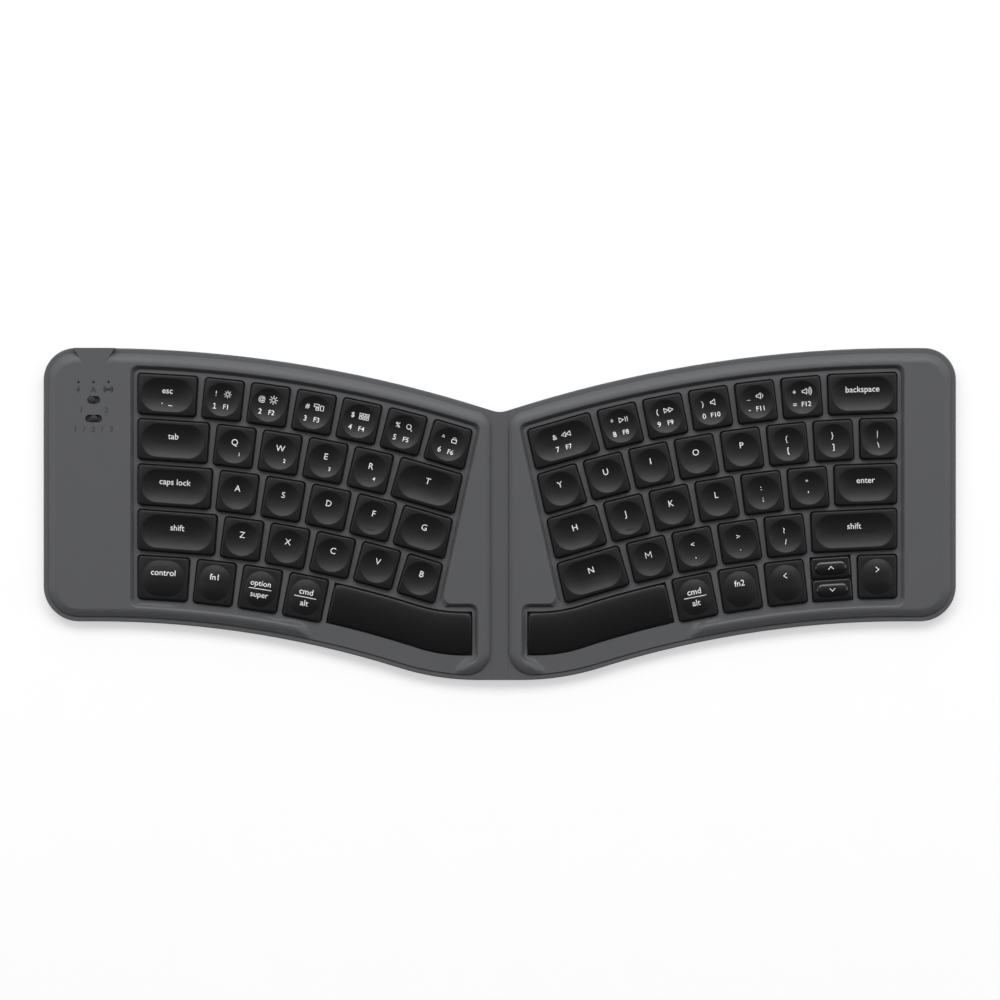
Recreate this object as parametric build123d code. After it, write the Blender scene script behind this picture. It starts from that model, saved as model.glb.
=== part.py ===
from build123d import *
from math import asin, atan, cos, degrees, hypot, pi, radians, sin, sqrt, tan
import os

# Slim folding ergonomic keyboard: 65 keys on fanned arcs, in two rigid halves joined by a soft strip.
# Millimetres, +X right, +Y to the back, +Z up. The origin is on the desk, under the middle of the outline.
# Outlines are drawn once in half coordinates, where u is the distance from the middle, and mirrored.

# Key field
KEY_PITCH = 19.0
KEY_WEB = 2.0
ROW_PITCH = 18.8
ROW_WEB = 1.2
LAST_HOLE_DEPTH = 18.8
ROW_RADIUS = 513.0
INNER_EDGE_U = 14.97
INNER_EDGE_DROP = 52.45
INNER_EDGE_SLOPE = 0.2213

# The level middle of the arcs, counted in key pitches from the middle of the keyboard
ARC_PITCHES = 8.8

# The row with the space bar, counted from the back
LAST_ROW = 4

# Outline from above
END_LENGTH = 21.7
LEFT_PANEL = 38.9
RIGHT_PANEL = 24.3
BACK_RIM = 7.1
FRONT_RIM = 6.5
THUMB_DROP = 24.3
STRIP_WIDTH = 7.3
BACK_CORNER = 13.2
FRONT_CORNER = 14.8
FRONT_EASE = 109.0
NOTCH_RADIUS = 9.5

# Heights
FOOT_HEIGHT = 0.8
FLOOR_THICKNESS = 1.2
LIP_HEIGHT = 5.1
DECK_RISE = 2.7
DECK_THICKNESS = 1.2
TRAY_DEPTH = 2.0
TRAY_FLOOR = 1.0
BELLY_CHAMFER = 1.3

# Walls of the shells
LIP_WIDTH = 2.2
WALL = 1.5
SEAM_GAP = 0.1
EDGE_CHAMFER = 2.0
BACK_INNER_CORNER = 7.0
FRONT_INNER_CORNER = 10.0
SNAP_TAB = 0.9
SNAP_TAB_LENGTH = 10.0
SNAP_TAB_GAP = 0.15
SNAP_TAB_DEPTH = 1.6
TAB_FROM_MIDDLE = 60.0
TAB_FROM_END = 48.9

# Tray around the keys
TRAY_MARGIN = 2.8
TRAY_SLOPE = 1.4
TRAY_CORNER = 3.3
THUMB_MARGIN = 3.2
THUMB_END_MARGIN = 2.5

# Key caps
CAP_GAP = 0.45
CAP_PROUD = 0.6
CAP_GRIP = 0.9
CAP_BEVEL = 0.7
BEVEL_SLOPE = 30.0
CAP_WALL = 1.0
CAP_ROOF = 0.8
KEY_TRAVEL = 1.7
DISH_MARGIN = 1.45
DISH_DEPTH = 0.5
DISH_BANK = 1.0
ROUND_SIDES = 10
DOME_MARGIN = 1.65
DOME_LENGTH = 2.4
DOME_WIDE_MARGIN = 0.85
HALF_KEY_GAP = 0.4

# Space bars
SPACE_INNER_U = 11.4
SPACE_FRONT_INSET = 10.15
SPACE_INNER_DEPTH = 18.2
SPACE_DEPTH = 17.2
SPACE_EASE = 60.0
SPACE_SLOPE = 4.0
SPACE_CREST = 4.0
SPACE_SAG = 0.8
SCOOP_INNER_U = 21.0
SCOOP_WIDTH = 56.0

# Under the keys
PLATE_THICKNESS = 0.6
PLATE_GAP = 0.5
PLATE_EDGE = 1.4
MEMBRANE_THICKNESS = 0.3
RUBBER_DOME_GAP = 0.3
RUBBER_DOME_RADIUS = 2.9
RUBBER_DOME_TOP = 1.8
RUBBER_DOME_SIDES = 4

# Electronics in the panel at the left end
BOARD_THICKNESS = 0.8
BOARD_RIB = 0.5
BOARD_GAP = 2.3
BOARD_END_INSET = 6.9
BOARD_BACK_INSET = 4.75
BOARD_LENGTH = 46.0
BOARD_CORNER = 6.0
SWITCH_BODY_LENGTH = 9.0
SWITCH_BODY_WIDTH = 3.6
LAMP_CHIP_LENGTH = 1.6
LAMP_CHIP_WIDTH = 0.8
LAMP_CHIP_HEIGHT = 0.6
CHIP_SIDE = 7.0
CHIP_HEIGHT = 0.9
CHIP_INSET = 9.0
CHIP_SIDE_INSET = 8.5
BATTERY_WIDTH = 23.0
BATTERY_LENGTH = 48.0
BATTERY_GAP = 6.0
BATTERY_SIDE_INSET = 2.0
BATTERY_THICKNESS = 3.6
BATTERY_CORNER = 1.5
PORT_END_INSET = 21.2
PORT_WIDTH = 8.9
PORT_HEIGHT = 3.1
PORT_DEPTH = 7.3
PORT_WALL = 0.3
PORT_GAP = 0.2
PORT_SETBACK = 0.4
PORT_TONGUE = 0.7
PORT_BLOCK_BACK = 17.4
PORT_BLOCK_FRONT = 11.1
PORT_BLOCK_DEPTH = 5.1
LAMP_END_INSET = 21.0
LAMP_BACK_INSET = 14.25
LAMP_STEP = 6.2
LAMP_RADIUS = 0.45
LAMP_GAP = 0.05
LAMP_SIDES = 8
LIGHT_BAR_WIDTH = 2.0
LIGHT_BAR_THICKNESS = 1.0
SWITCH_END_INSET = 21.05
OS_SWITCH_INSET = 21.65
LINK_SWITCH_INSET = 29.35
SLOT_HEIGHT = 3.3
KNOB_LENGTH = 3.2
OS_TRAVEL = 2.0
LINK_TRAVEL = 3.6
KNOB_GAP = 0.1
KNOB_SUNK = 0.3
SLIDE_FLANGE = 0.8
FLANGE_LIP = 0.6
FLANGE_GAP = 0.2

# Feet
FOOT_LENGTH = 26.0
FOOT_WIDTH = 5.0
FOOT_CORNER = 1.5
FOOT_SUNK = 0.5
FOOT_INSET = 9.0
FOOT_FROM_MIDDLE = 40.0
FOOT_FROM_END = 23.9

# How far a cut runs past a face, how far joined solids reach in, and when two places are the same
CUT = 1.0
FUSE = 0.1
SAME = 0.01

# Key sizes that follow
HOLE_WIDTH = KEY_PITCH - KEY_WEB
HOLE_DEPTH = ROW_PITCH - ROW_WEB
DISH_RADIUS = HOLE_WIDTH / 2 - CAP_GAP - DISH_MARGIN
DOME_RADIUS = HOLE_WIDTH / 2 - CAP_GAP - DOME_MARGIN
DOME_WIDE_RADIUS = HOLE_WIDTH / 2 - CAP_GAP - DOME_WIDE_MARGIN

# Arcs of the rows and of the outline, all round one centre
ARC_U = ARC_PITCHES * KEY_PITCH
LAST_ROW_STEP = (HOLE_DEPTH + LAST_HOLE_DEPTH) / 2 + ROW_WEB
ROW_RADII = [ROW_RADIUS - i * ROW_PITCH for i in range(LAST_ROW)]
ROW_RADII.append(ROW_RADII[-1] - LAST_ROW_STEP)
BACK_RADIUS = ROW_RADIUS + HOLE_DEPTH / 2 + TRAY_MARGIN + BACK_RIM
FRONT_RADIUS = ROW_RADII[LAST_ROW] - LAST_HOLE_DEPTH / 2 - TRAY_MARGIN - FRONT_RIM

# Outline and places that follow
HALF_WIDTH = ARC_U + END_LENGTH
BODY_WIDTH = 2 * HALF_WIDTH
BODY_DEPTH = BACK_RADIUS - FRONT_RADIUS + THUMB_DROP
BACK_Y = BODY_DEPTH / 2
FRONT_Y = -BODY_DEPTH / 2
OUTER_FRONT_Y = FRONT_Y + THUMB_DROP
ARC_Y = BACK_Y - BACK_RADIUS
CREASE_U = STRIP_WIDTH / 2
LEFT_KEY_EDGE = HALF_WIDTH - LEFT_PANEL
RIGHT_KEY_EDGE = HALF_WIDTH - RIGHT_PANEL
SPACE_FRONT_Y = FRONT_Y + SPACE_FRONT_INSET
SPACE_BACK_Y = SPACE_FRONT_Y + SPACE_INNER_DEPTH
LEFT, RIGHT = -1, 1

# Levels that follow
BELLY_Z = FOOT_HEIGHT
FLOOR_Z = BELLY_Z + FLOOR_THICKNESS
DECK_Z = LIP_HEIGHT + DECK_RISE
DECK_UNDER_Z = DECK_Z - DECK_THICKNESS
TRAY_Z = DECK_Z - TRAY_DEPTH
TRAY_UNDER_Z = TRAY_Z - TRAY_FLOOR
CAP_TOP_Z = DECK_Z + CAP_PROUD
CAP_BASE_Z = TRAY_Z - CAP_GRIP
PLATE_Z = FLOOR_Z
MEMBRANE_Z = PLATE_Z + PLATE_THICKNESS
MEMBRANE_TOP_Z = MEMBRANE_Z + MEMBRANE_THICKNESS
BOARD_Z = FLOOR_Z + BOARD_RIB
BOARD_TOP_Z = BOARD_Z + BOARD_THICKNESS
FLANGE_Z = DECK_UNDER_Z - KNOB_GAP - SLIDE_FLANGE

# Places in the panel that follow
BOARD_INNER_U = LEFT_KEY_EDGE + TRAY_MARGIN + PLATE_EDGE + BOARD_GAP
BOARD_OUTER_U = HALF_WIDTH - BOARD_END_INSET
BOARD_U = (BOARD_INNER_U + BOARD_OUTER_U) / 2
CHIP_U = BOARD_INNER_U + CHIP_SIDE_INSET
BOARD_BACK_Y = BACK_Y - BOARD_BACK_INSET
BOARD_FRONT_Y = BOARD_BACK_Y - BOARD_LENGTH
BATTERY_U = BOARD_OUTER_U - BATTERY_SIDE_INSET - BATTERY_WIDTH / 2
BATTERY_Y = BOARD_FRONT_Y - BATTERY_GAP - BATTERY_LENGTH / 2
PORT_U = HALF_WIDTH - PORT_END_INSET
LAMP_U = HALF_WIDTH - LAMP_END_INSET
LAMP_Y = BACK_Y - LAMP_BACK_INSET
SWITCH_U = HALF_WIDTH - SWITCH_END_INSET
OS_SWITCH_Y = BACK_Y - OS_SWITCH_INSET
LINK_SWITCH_Y = BACK_Y - LINK_SWITCH_INSET

# The square keys of each row, outermost first, and where the first one sits along its arc, in key pitches
LEFT_ROWS = [
    (2.78, ["1", "2", "3", "4", "5"]),
    (3.035, ["q", "w", "e", "r"]),
    (3.10, ["a", "s", "d", "f"]),
    (3.20, ["z", "x", "c", "v"]),
    (2.60, ["fn1", "option", "cmd_left"]),
]
RIGHT_ROWS = [
    (2.23, ["equals", "minus", "0", "9", "8"]),
    (1.537, ["bracket_close", "bracket_open", "p", "o", "i", "u"]),
    (2.09, ["quote", "semicolon", "l", "k", "j"]),
    (2.59, ["slash", "period", "comma", "m"]),
    (1.58, ["arrow_pair", "arrow_left", "fn2", "cmd_right"]),
]
OUTER_KEYS = {
    LEFT: ["esc", "tab", "caps_lock", "shift_left", "control"],
    RIGHT: ["backspace", "backslash", "enter", "shift_right", "arrow_right"],
}
INNER_KEYS = {LEFT: ["6", "t", "g", "b"], RIGHT: ["7", "y", "h", "n"]}

# Keys that share a file, because the set has more keys than files to spare
GROUPS = {
    "keys_number_row_left": ["esc", "1", "2", "3", "4", "5", "6"],
    "keys_number_row_right": ["7", "8", "9", "0", "minus", "equals"],
    "keys_punctuation": [
        "bracket_open", "bracket_close", "backslash", "semicolon", "quote", "comma", "period", "slash",
    ],
    "keys_modifiers_left": ["control", "fn1", "option", "cmd_left"],
    "keys_modifiers_right": ["cmd_right", "fn2"],
}


def arc_point(radius, u):
    return (u, ARC_Y + sqrt(radius**2 - (ARC_U - u) ** 2))


def arc_span(radius, u_from, u_to):
    middle = (u_from + u_to) / 2
    return ThreePointArc(arc_point(radius, u_from), arc_point(radius, middle), arc_point(radius, u_to))


def along_edge(radius, u):
    """The frame of a point on an arc, turned along it."""
    return Pos(*arc_point(radius, u)) * Rot(0, 0, degrees(asin((ARC_U - u) / radius)))


def eased_edge(radius, flat_y, ease, u_from, u_to):
    """A row arc that runs in from u_from, eases into the level flat_y and ends at u_to."""
    rise = flat_y + ease - ARC_Y
    centre_u = ARC_U - sqrt((radius + ease) ** 2 - rise**2)
    share = radius / (radius + ease)
    join = (ARC_U + (centre_u - ARC_U) * share, ARC_Y + rise * share)
    half_turn = atan((join[0] - centre_u) / (flat_y + ease - join[1])) / 2
    middle = (centre_u + ease * sin(half_turn), flat_y + ease - ease * cos(half_turn))
    return [
        arc_span(radius, u_from, join[0]),
        ThreePointArc(join, middle, (centre_u, flat_y)),
        Line((centre_u, flat_y), (u_to, flat_y)),
    ]


def face_of(edges):
    return Sketch() + Face(Wire(edges))


def corners_at(sketch, u, y):
    return [v for v in sketch.vertices() if abs(v.X - u) < SAME and abs(v.Y - y) < SAME]


def corners_along(sketch, *places):
    return [v for v in sketch.vertices() if any(abs(v.X - u) < SAME for u in places)]


def prism(sketch, z_from, z_to):
    return extrude(Pos(0, 0, z_from) * sketch, amount=z_to - z_from, dir=(0, 0, 1))


def on_side(shape, side):
    return mirror(shape, about=Plane.YZ) if side == LEFT else shape


def body_outline(inset):
    """The outline of one half out from the middle line, before the strip is taken out."""
    back, end = BACK_RADIUS - inset, HALF_WIDTH - inset
    back_y, outer_y, front_y = BACK_Y - inset, OUTER_FRONT_Y + inset, FRONT_Y + inset
    edges = [
        arc_span(back, 0, ARC_U),
        Line((ARC_U, back_y), (end, back_y)),
        Line((end, back_y), (end, outer_y)),
        Line((end, outer_y), (ARC_U, outer_y)),
        *eased_edge(FRONT_RADIUS + inset, front_y, FRONT_EASE - inset, ARC_U, 0),
        Line((0, front_y), arc_point(back, 0)),
    ]
    outline = fillet(corners_at(face_of(edges), end, back_y), BACK_CORNER - inset)
    return fillet(corners_at(outline, end, outer_y), FRONT_CORNER - inset)


def whole_outline(inset=0.0):
    half = body_outline(inset)
    both = half + mirror(half, about=Plane.YZ)
    return fillet(corners_at(both, *arc_point(BACK_RADIUS - inset, 0)), NOTCH_RADIUS + inset)


def window(u_from, u_to):
    return Pos((u_from + u_to) / 2, 0) * Rectangle(u_to - u_from, 2 * BODY_DEPTH)


def half_outline():
    return whole_outline() & window(CREASE_U, BODY_WIDTH)


def rounded_outline(radius, inset):
    """The outline inside the lip, with its inner corners rounded, less the inset."""
    core = whole_outline(LIP_WIDTH + radius) & window(CREASE_U + SEAM_GAP + radius, BODY_WIDTH)
    return offset(core, radius - inset, kind=Kind.ARC)


def deck_outline(inset=0.0):
    """The raised part of one half, inside the lip."""
    back_half = Pos(0, BODY_DEPTH) * Rectangle(2 * BODY_WIDTH, 2 * BODY_DEPTH)
    front_half = Pos(0, -BODY_DEPTH) * Rectangle(2 * BODY_WIDTH, 2 * BODY_DEPTH)
    back = rounded_outline(BACK_INNER_CORNER, inset) & back_half
    front = rounded_outline(FRONT_INNER_CORNER, inset) & front_half
    return back + front


def cavity_outline(extra=0.0):
    return deck_outline(WALL + extra)


def inner_edge_u(y, inset=0.0):
    level = BACK_Y - INNER_EDGE_DROP
    return INNER_EDGE_U + INNER_EDGE_SLOPE * (level - y) + inset * hypot(1, INNER_EDGE_SLOPE)


def key_edge(side):
    return LEFT_KEY_EDGE if side == LEFT else RIGHT_KEY_EDGE


def tray_outline(side, inset=0.0):
    """The sunk tray around the keys, as wide as the deck opening less the inset."""
    back = ROW_RADII[0] + HOLE_DEPTH / 2 + TRAY_MARGIN - inset
    front = ROW_RADII[LAST_ROW] - LAST_HOLE_DEPTH / 2 - TRAY_MARGIN + inset
    outer = key_edge(side) + TRAY_MARGIN - inset
    inner = SPACE_INNER_U - THUMB_END_MARGIN + inset
    step_y = SPACE_BACK_Y + THUMB_MARGIN - inset
    front_y = SPACE_FRONT_Y - TRAY_MARGIN + inset
    top_u = inner_edge_u(arc_point(back, INNER_EDGE_U)[1], inset - TRAY_MARGIN)
    top_u = inner_edge_u(arc_point(back, top_u)[1], inset - TRAY_MARGIN)
    bend_u = inner_edge_u(step_y, inset - TRAY_MARGIN)
    edges = [
        arc_span(back, top_u, outer),
        Line(arc_point(back, outer), arc_point(front, outer)),
        *eased_edge(front, front_y, SPACE_EASE, outer, inner),
        Line((inner, front_y), (inner, step_y)),
        Line((inner, step_y), (bend_u, step_y)),
        Line((bend_u, step_y), arc_point(back, top_u)),
    ]
    outline = face_of(edges)
    return fillet(corners_along(outline, outer, inner, top_u, bend_u), TRAY_CORNER - inset / 2)


def scoop_outline():
    """The low front edge before a space bar, where the thumb comes in."""
    back = ROW_RADII[LAST_ROW] - LAST_HOLE_DEPTH / 2
    outer = SCOOP_INNER_U + SCOOP_WIDTH
    edges = [
        *eased_edge(back, SPACE_FRONT_Y, SPACE_EASE, outer, SCOOP_INNER_U),
        Line((SCOOP_INNER_U, SPACE_FRONT_Y), (SCOOP_INNER_U, 2 * FRONT_Y)),
        Line((SCOOP_INNER_U, 2 * FRONT_Y), (outer, 2 * FRONT_Y)),
        Line((outer, 2 * FRONT_Y), arc_point(back, outer)),
    ]
    return face_of(edges)


def row_place(row, along):
    """The point and the turn of a row's arc at a distance from its apex towards the middle."""
    radius = ROW_RADII[row]
    turn = along / radius
    return ARC_U - radius * sin(turn), ARC_Y + radius * cos(turn), turn


def hole_depth(row):
    return LAST_HOLE_DEPTH if row == LAST_ROW else HOLE_DEPTH


def crossing(point, heading, other_point, other_heading):
    """Where two lines meet, each given by a point and a heading."""
    cross = heading[0] * other_heading[1] - heading[1] * other_heading[0]
    du = other_point[0] - point[0]
    dy = other_point[1] - point[1]
    step = (du * other_heading[1] - dy * other_heading[0]) / cross
    return (point[0] + heading[0] * step, point[1] + heading[1] * step)


def key_frame(row, along):
    u, y, turn = row_place(row, along)
    return Pos(u, y) * Rot(0, 0, degrees(turn))


def trimmed(sketch, size):
    return chamfer(sketch.vertices(), size)


class Key:
    """One key: its outlines for any inset, its frame and the shape of its top."""

    def __init__(self, name, side, row, along, width, edge=None, top="dish"):
        self.name, self.side, self.row = name, side, row
        self.along, self.width, self.edge, self.top = along, width, edge, top
        self.frame = key_frame(row, along)

    def outline(self, inset):
        depth = hole_depth(self.row) - 2 * inset
        if self.edge is None:
            return self.frame * Rectangle(self.width - 2 * inset, depth)
        return self.end_outline(inset, depth)

    def inner_outline(self, inset):
        return self.outline(inset)

    def end_outline(self, inset, depth):
        """An end key: square to its arc beside its neighbour, cut along the edge of the key field."""
        u, y, turn = row_place(self.row, self.along)
        ahead = (cos(turn), sin(turn))
        up = (-sin(turn), cos(turn))
        toward = 1 if self.edge == "outer" else -1
        reach = toward * (self.width / 2 - inset)
        near = (u - ahead[0] * reach, y - ahead[1] * reach)
        if self.edge == "outer":
            far, far_heading = (key_edge(self.side) - inset, 0), (0, 1)
        else:
            far, far_heading = (inner_edge_u(0, inset), 0), (-INNER_EDGE_SLOPE, 1)
        back = (u + up[0] * depth / 2, y + up[1] * depth / 2)
        front = (u - up[0] * depth / 2, y - up[1] * depth / 2)
        corners = [
            crossing(near, up, back, ahead),
            crossing(far, far_heading, back, ahead),
            crossing(far, far_heading, front, ahead),
            crossing(near, up, front, ahead),
        ]
        return Sketch() + Face(Wire.make_polygon(corners[::-toward], close=True))


class SpaceKey(Key):
    """A space bar, bent along its row's arc and eased level towards the middle."""

    def runs(self, inset):
        """The back and the front edge, both from the outer end to the inner end."""
        back = ROW_RADII[LAST_ROW] + SPACE_DEPTH / 2 - inset
        front = ROW_RADII[LAST_ROW] - SPACE_DEPTH / 2 + inset
        turn = (self.along - self.width / 2 + inset) / ROW_RADII[LAST_ROW]
        inner = SPACE_INNER_U + inset
        return (
            eased_edge(back, SPACE_BACK_Y - inset, SPACE_EASE, ARC_U - back * sin(turn), inner),
            eased_edge(front, SPACE_FRONT_Y + inset, SPACE_EASE, ARC_U - front * sin(turn), inner),
        )

    def outline(self, inset):
        back, front = self.runs(inset)
        return face_of([*back, Line(back[-1] @ 1, front[-1] @ 1), *front, Line(front[0] @ 0, back[0] @ 0)])

    def inner_outline(self, inset):
        """The hollow has straight walls between the corners of the bent outline."""
        back, front = self.runs(inset + SPACE_SAG)
        ends = [back[-1] @ 1, front[-1] @ 1]
        corners = [edge @ 0 for edge in back] + ends + [edge @ 0 for edge in reversed(front)]
        return Sketch() + Face(Wire.make_polygon(corners, close=True))


def square_run(side):
    return LEFT_ROWS if side == LEFT else RIGHT_ROWS


def outer_end(side, row):
    return ROW_RADII[row] * asin((ARC_U - key_edge(side)) / ROW_RADII[row])


def inner_end(row):
    """How far along its arc a row meets the slanted inner edge of the key field."""
    along = 0.0
    for _ in range(8):
        y = row_place(row, along)[1]
        along = ROW_RADII[row] * asin((ARC_U - inner_edge_u(y)) / ROW_RADII[row])
    return along


def keys_of_half(side):
    keys = []
    for row, (first, names) in enumerate(square_run(side)):
        top = "dome" if row == LAST_ROW else "dish"
        for i, name in enumerate(names):
            keys.append(Key(name, side, row, (first + i) * KEY_PITCH, HOLE_WIDTH, top=top))
        near = first * KEY_PITCH - HOLE_WIDTH / 2 - KEY_WEB
        far = outer_end(side, row)
        name = OUTER_KEYS[side][row]
        keys.append(Key(name, side, row, (near + far) / 2, near - far, edge="outer", top=top))
        near = (first + len(names) - 1) * KEY_PITCH + HOLE_WIDTH / 2 + KEY_WEB
        if row < 4:
            far = inner_end(row)
            name = INNER_KEYS[side][row]
            keys.append(Key(name, side, row, (near + far) / 2, far - near, edge="inner"))
        else:
            far = ROW_RADII[LAST_ROW] * asin((ARC_U - SPACE_INNER_U) / ROW_RADII[LAST_ROW])
            name = "space_left" if side == LEFT else "space_right"
            keys.append(SpaceKey(name, side, row, (near + far) / 2, far - near, top="space"))
    return keys


def rounded_run(length, radius, z=0.0):
    """The corners of a circle of flats, pulled apart along its middle by a length."""
    corners = []
    for i in range(ROUND_SIDES):
        turn = 2 * pi * i / ROUND_SIDES
        shift = length / 2 if cos(turn) > 0 else -length / 2
        corners.append((radius * cos(turn) + shift, radius * sin(turn), z))
    return corners


def slot(length, height):
    """A slot with round ends, by its overall sizes."""
    return Sketch() + Face(Wire.make_polygon(rounded_run(length - height, height / 2), close=True))


def frustum(low, high):
    """A closed solid between two outlines whose corners match."""
    around = range(len(low))
    sides = [Face(Wire.make_polygon([low[i - 1], low[i], high[i], high[i - 1]], close=True)) for i in around]
    ends = [Face(Wire.make_polygon(corners, close=True)) for corners in (low, high)]
    return Part() + Solid(Shell(sides + ends))


def raised_run(length, radius, height):
    """A pad of rounded outline that narrows upwards, or a dish that widens upwards to level 0."""
    if height > 0:
        return frustum(rounded_run(length, radius, 0), rounded_run(length, radius - DISH_BANK, height))
    return frustum(rounded_run(length, radius - DISH_BANK, height), rounded_run(length, radius, 0))


def roof_z(key):
    """The underside of a cap's roof, at rest."""
    level = CAP_TOP_Z - DISH_DEPTH - CAP_ROOF
    return level - SPACE_DEPTH * tan(radians(SPACE_SLOPE)) if key.top == "space" else level


def hollow(key):
    return prism(key.inner_outline(CAP_GAP + CAP_WALL), CAP_BASE_Z, roof_z(key))


def bevelled(outline, top_z, bevel):
    skirt = prism(outline, CAP_BASE_Z, top_z - bevel)
    return skirt + extrude(Pos(0, 0, top_z - bevel) * outline, amount=bevel, taper=BEVEL_SLOPE)


def plain_cap(key, top_z):
    """The outer form of a cap: straight skirt, then a bevel all round."""
    return bevelled(key.outline(CAP_GAP), top_z, CAP_BEVEL)


def cap_solid(key):
    if key.top == "space":
        return space_cap(key)
    spare = max(key.width - HOLE_WIDTH, 0)
    if key.top == "dish":
        dish = raised_run(spare, DISH_RADIUS, -DISH_DEPTH)
        return plain_cap(key, CAP_TOP_Z) - Pos(0, 0, CAP_TOP_Z) * key.frame * dish - hollow(key)
    dome = Rot(0, 0, 90) * raised_run(DOME_LENGTH, DOME_RADIUS, DISH_DEPTH)
    if spare > DOME_LENGTH:
        dome = raised_run(spare, DOME_WIDE_RADIUS, DISH_DEPTH)
    base_z = CAP_TOP_Z - DISH_DEPTH
    return plain_cap(key, base_z) + Pos(0, 0, base_z) * key.frame * dome - hollow(key)


def space_cap(key):
    """A space bar falls away towards the front."""
    cap = prism(key.outline(CAP_GAP), CAP_BASE_Z, CAP_TOP_Z + SPACE_DEPTH)
    u, y, turn = row_place(LAST_ROW, key.along)
    crest = Pos(u, y, CAP_TOP_Z) * Rot(0, 0, degrees(turn)) * Pos(0, SPACE_DEPTH / 2 + SPACE_CREST, 0)
    above = Pos(0, 0, BODY_DEPTH / 2) * Box(BODY_WIDTH, BODY_DEPTH, BODY_DEPTH)
    cap -= crest * Rot(SPACE_SLOPE, 0, 0) * above
    cap = chamfer(cap.faces().sort_by(Axis.Z)[-1].edges(), CAP_BEVEL)
    return cap - hollow(key)


def half_height_caps(key):
    """The up and down arrows share one square hole, one behind the other."""
    depth = (hole_depth(LAST_ROW) - 2 * CAP_GAP - HALF_KEY_GAP) / 2
    width = HOLE_WIDTH - 2 * CAP_GAP
    caps = {}
    for name, way in (("arrow_up", 1), ("arrow_down", -1)):
        frame = key.frame * Pos(0, way * (depth + HALF_KEY_GAP) / 2)
        top_z = CAP_TOP_Z - DISH_DEPTH
        cap = bevelled(frame * Rectangle(width, depth), top_z, CAP_BEVEL / 2)
        cap += Pos(0, 0, top_z) * frame * raised_run(width - depth, depth / 2 - CAP_BEVEL, DISH_DEPTH)
        inside = frame * Rectangle(width - 2 * CAP_WALL, depth - 2 * CAP_WALL)
        caps[name] = cap - prism(inside, CAP_BASE_Z, top_z - CAP_ROOF)
    return caps


def key_caps():
    caps = {}
    for side in (LEFT, RIGHT):
        for key in keys_of_half(side):
            if key.name == "arrow_pair":
                for name, cap in half_height_caps(key).items():
                    caps[name] = on_side(cap, side)
            else:
                caps[key.name] = on_side(cap_solid(key), side)
    return caps


def foot_outlines():
    """Four pads under each half, along its back and front edges."""
    pads = []
    for u in (FOOT_FROM_MIDDLE, HALF_WIDTH - FOOT_FROM_END):
        for radius in (BACK_RADIUS - FOOT_INSET, FRONT_RADIUS + FOOT_INSET):
            pads.append(along_edge(radius, u) * trimmed(Rectangle(FOOT_LENGTH, FOOT_WIDTH), FOOT_CORNER))
    return pads


def rubber_feet(side):
    pads = [prism(pad, 0, BELLY_Z + FOOT_SUNK) for pad in foot_outlines()]
    return on_side(Part() + pads, side)


def port_opening(grow):
    face = Rot(90, 0, 0) * slot(PORT_WIDTH + 2 * grow, PORT_HEIGHT + 2 * grow)
    return Pos(PORT_U, BACK_Y, BOARD_TOP_Z + PORT_HEIGHT / 2) * face


def port_way():
    """The way for the plug and the socket through the back walls of both shells."""
    opening = Pos(0, CUT, 0) * port_opening(PORT_GAP)
    return extrude(opening, amount=LIP_WIDTH + WALL + 2 * CUT, dir=(0, -1, 0))


def bottom_case(side):
    shell = prism(half_outline(), BELLY_Z, LIP_HEIGHT)
    belly = shell.faces().sort_by(Axis.Z)[0]
    outer = [e for e in belly.edges() if (e @ 0.5).X > CREASE_U + SAME]
    shell = chamfer(outer, BELLY_CHAMFER)
    shell -= prism(cavity_outline(), FLOOR_Z, LIP_HEIGHT)
    shell -= [prism(pad, BELLY_Z, BELLY_Z + FOOT_SUNK) for pad in foot_outlines()]
    if side == LEFT:
        shell -= port_way()
        rib = Rectangle(BOARD_OUTER_U - BOARD_INNER_U - 2 * WALL, WALL)
        for y in (BOARD_FRONT_Y + WALL, BOARD_BACK_Y - BOARD_CORNER - WALL):
            shell += prism(Pos(BOARD_U, y) * rib, FLOOR_Z, BOARD_Z)
    return on_side(shell, side)


def port_block():
    """The deck runs out flat to the back edge over the charging socket."""
    half_back, half_front = PORT_BLOCK_BACK / 2, PORT_BLOCK_FRONT / 2
    corners = [
        (PORT_U - half_back, BACK_Y),
        (PORT_U + half_back, BACK_Y),
        (PORT_U + half_front, BACK_Y - PORT_BLOCK_DEPTH),
        (PORT_U - half_front, BACK_Y - PORT_BLOCK_DEPTH),
    ]
    outline = Face(Wire.make_polygon(corners, close=True)) & half_outline()
    return prism(Sketch() + outline, LIP_HEIGHT, DECK_Z)


def switch_slot(y, travel):
    return Pos(SWITCH_U, y) * slot(KNOB_LENGTH + travel + 2 * KNOB_GAP, SLOT_HEIGHT)


def snap_tabs():
    """Tabs that reach down inside the rim of the lower shell."""
    inset = LIP_WIDTH + WALL + SNAP_TAB_GAP + SNAP_TAB / 2
    tabs = []
    for u in (TAB_FROM_MIDDLE, HALF_WIDTH - TAB_FROM_END):
        for radius, way in ((BACK_RADIUS, -1), (FRONT_RADIUS, 1)):
            tabs.append(along_edge(radius + way * inset, u) * Rectangle(SNAP_TAB_LENGTH, SNAP_TAB))
    side_y = (BACK_Y + OUTER_FRONT_Y) / 2
    tabs.append(Pos(HALF_WIDTH - inset, side_y) * Rectangle(SNAP_TAB, SNAP_TAB_LENGTH))
    return tabs


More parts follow.
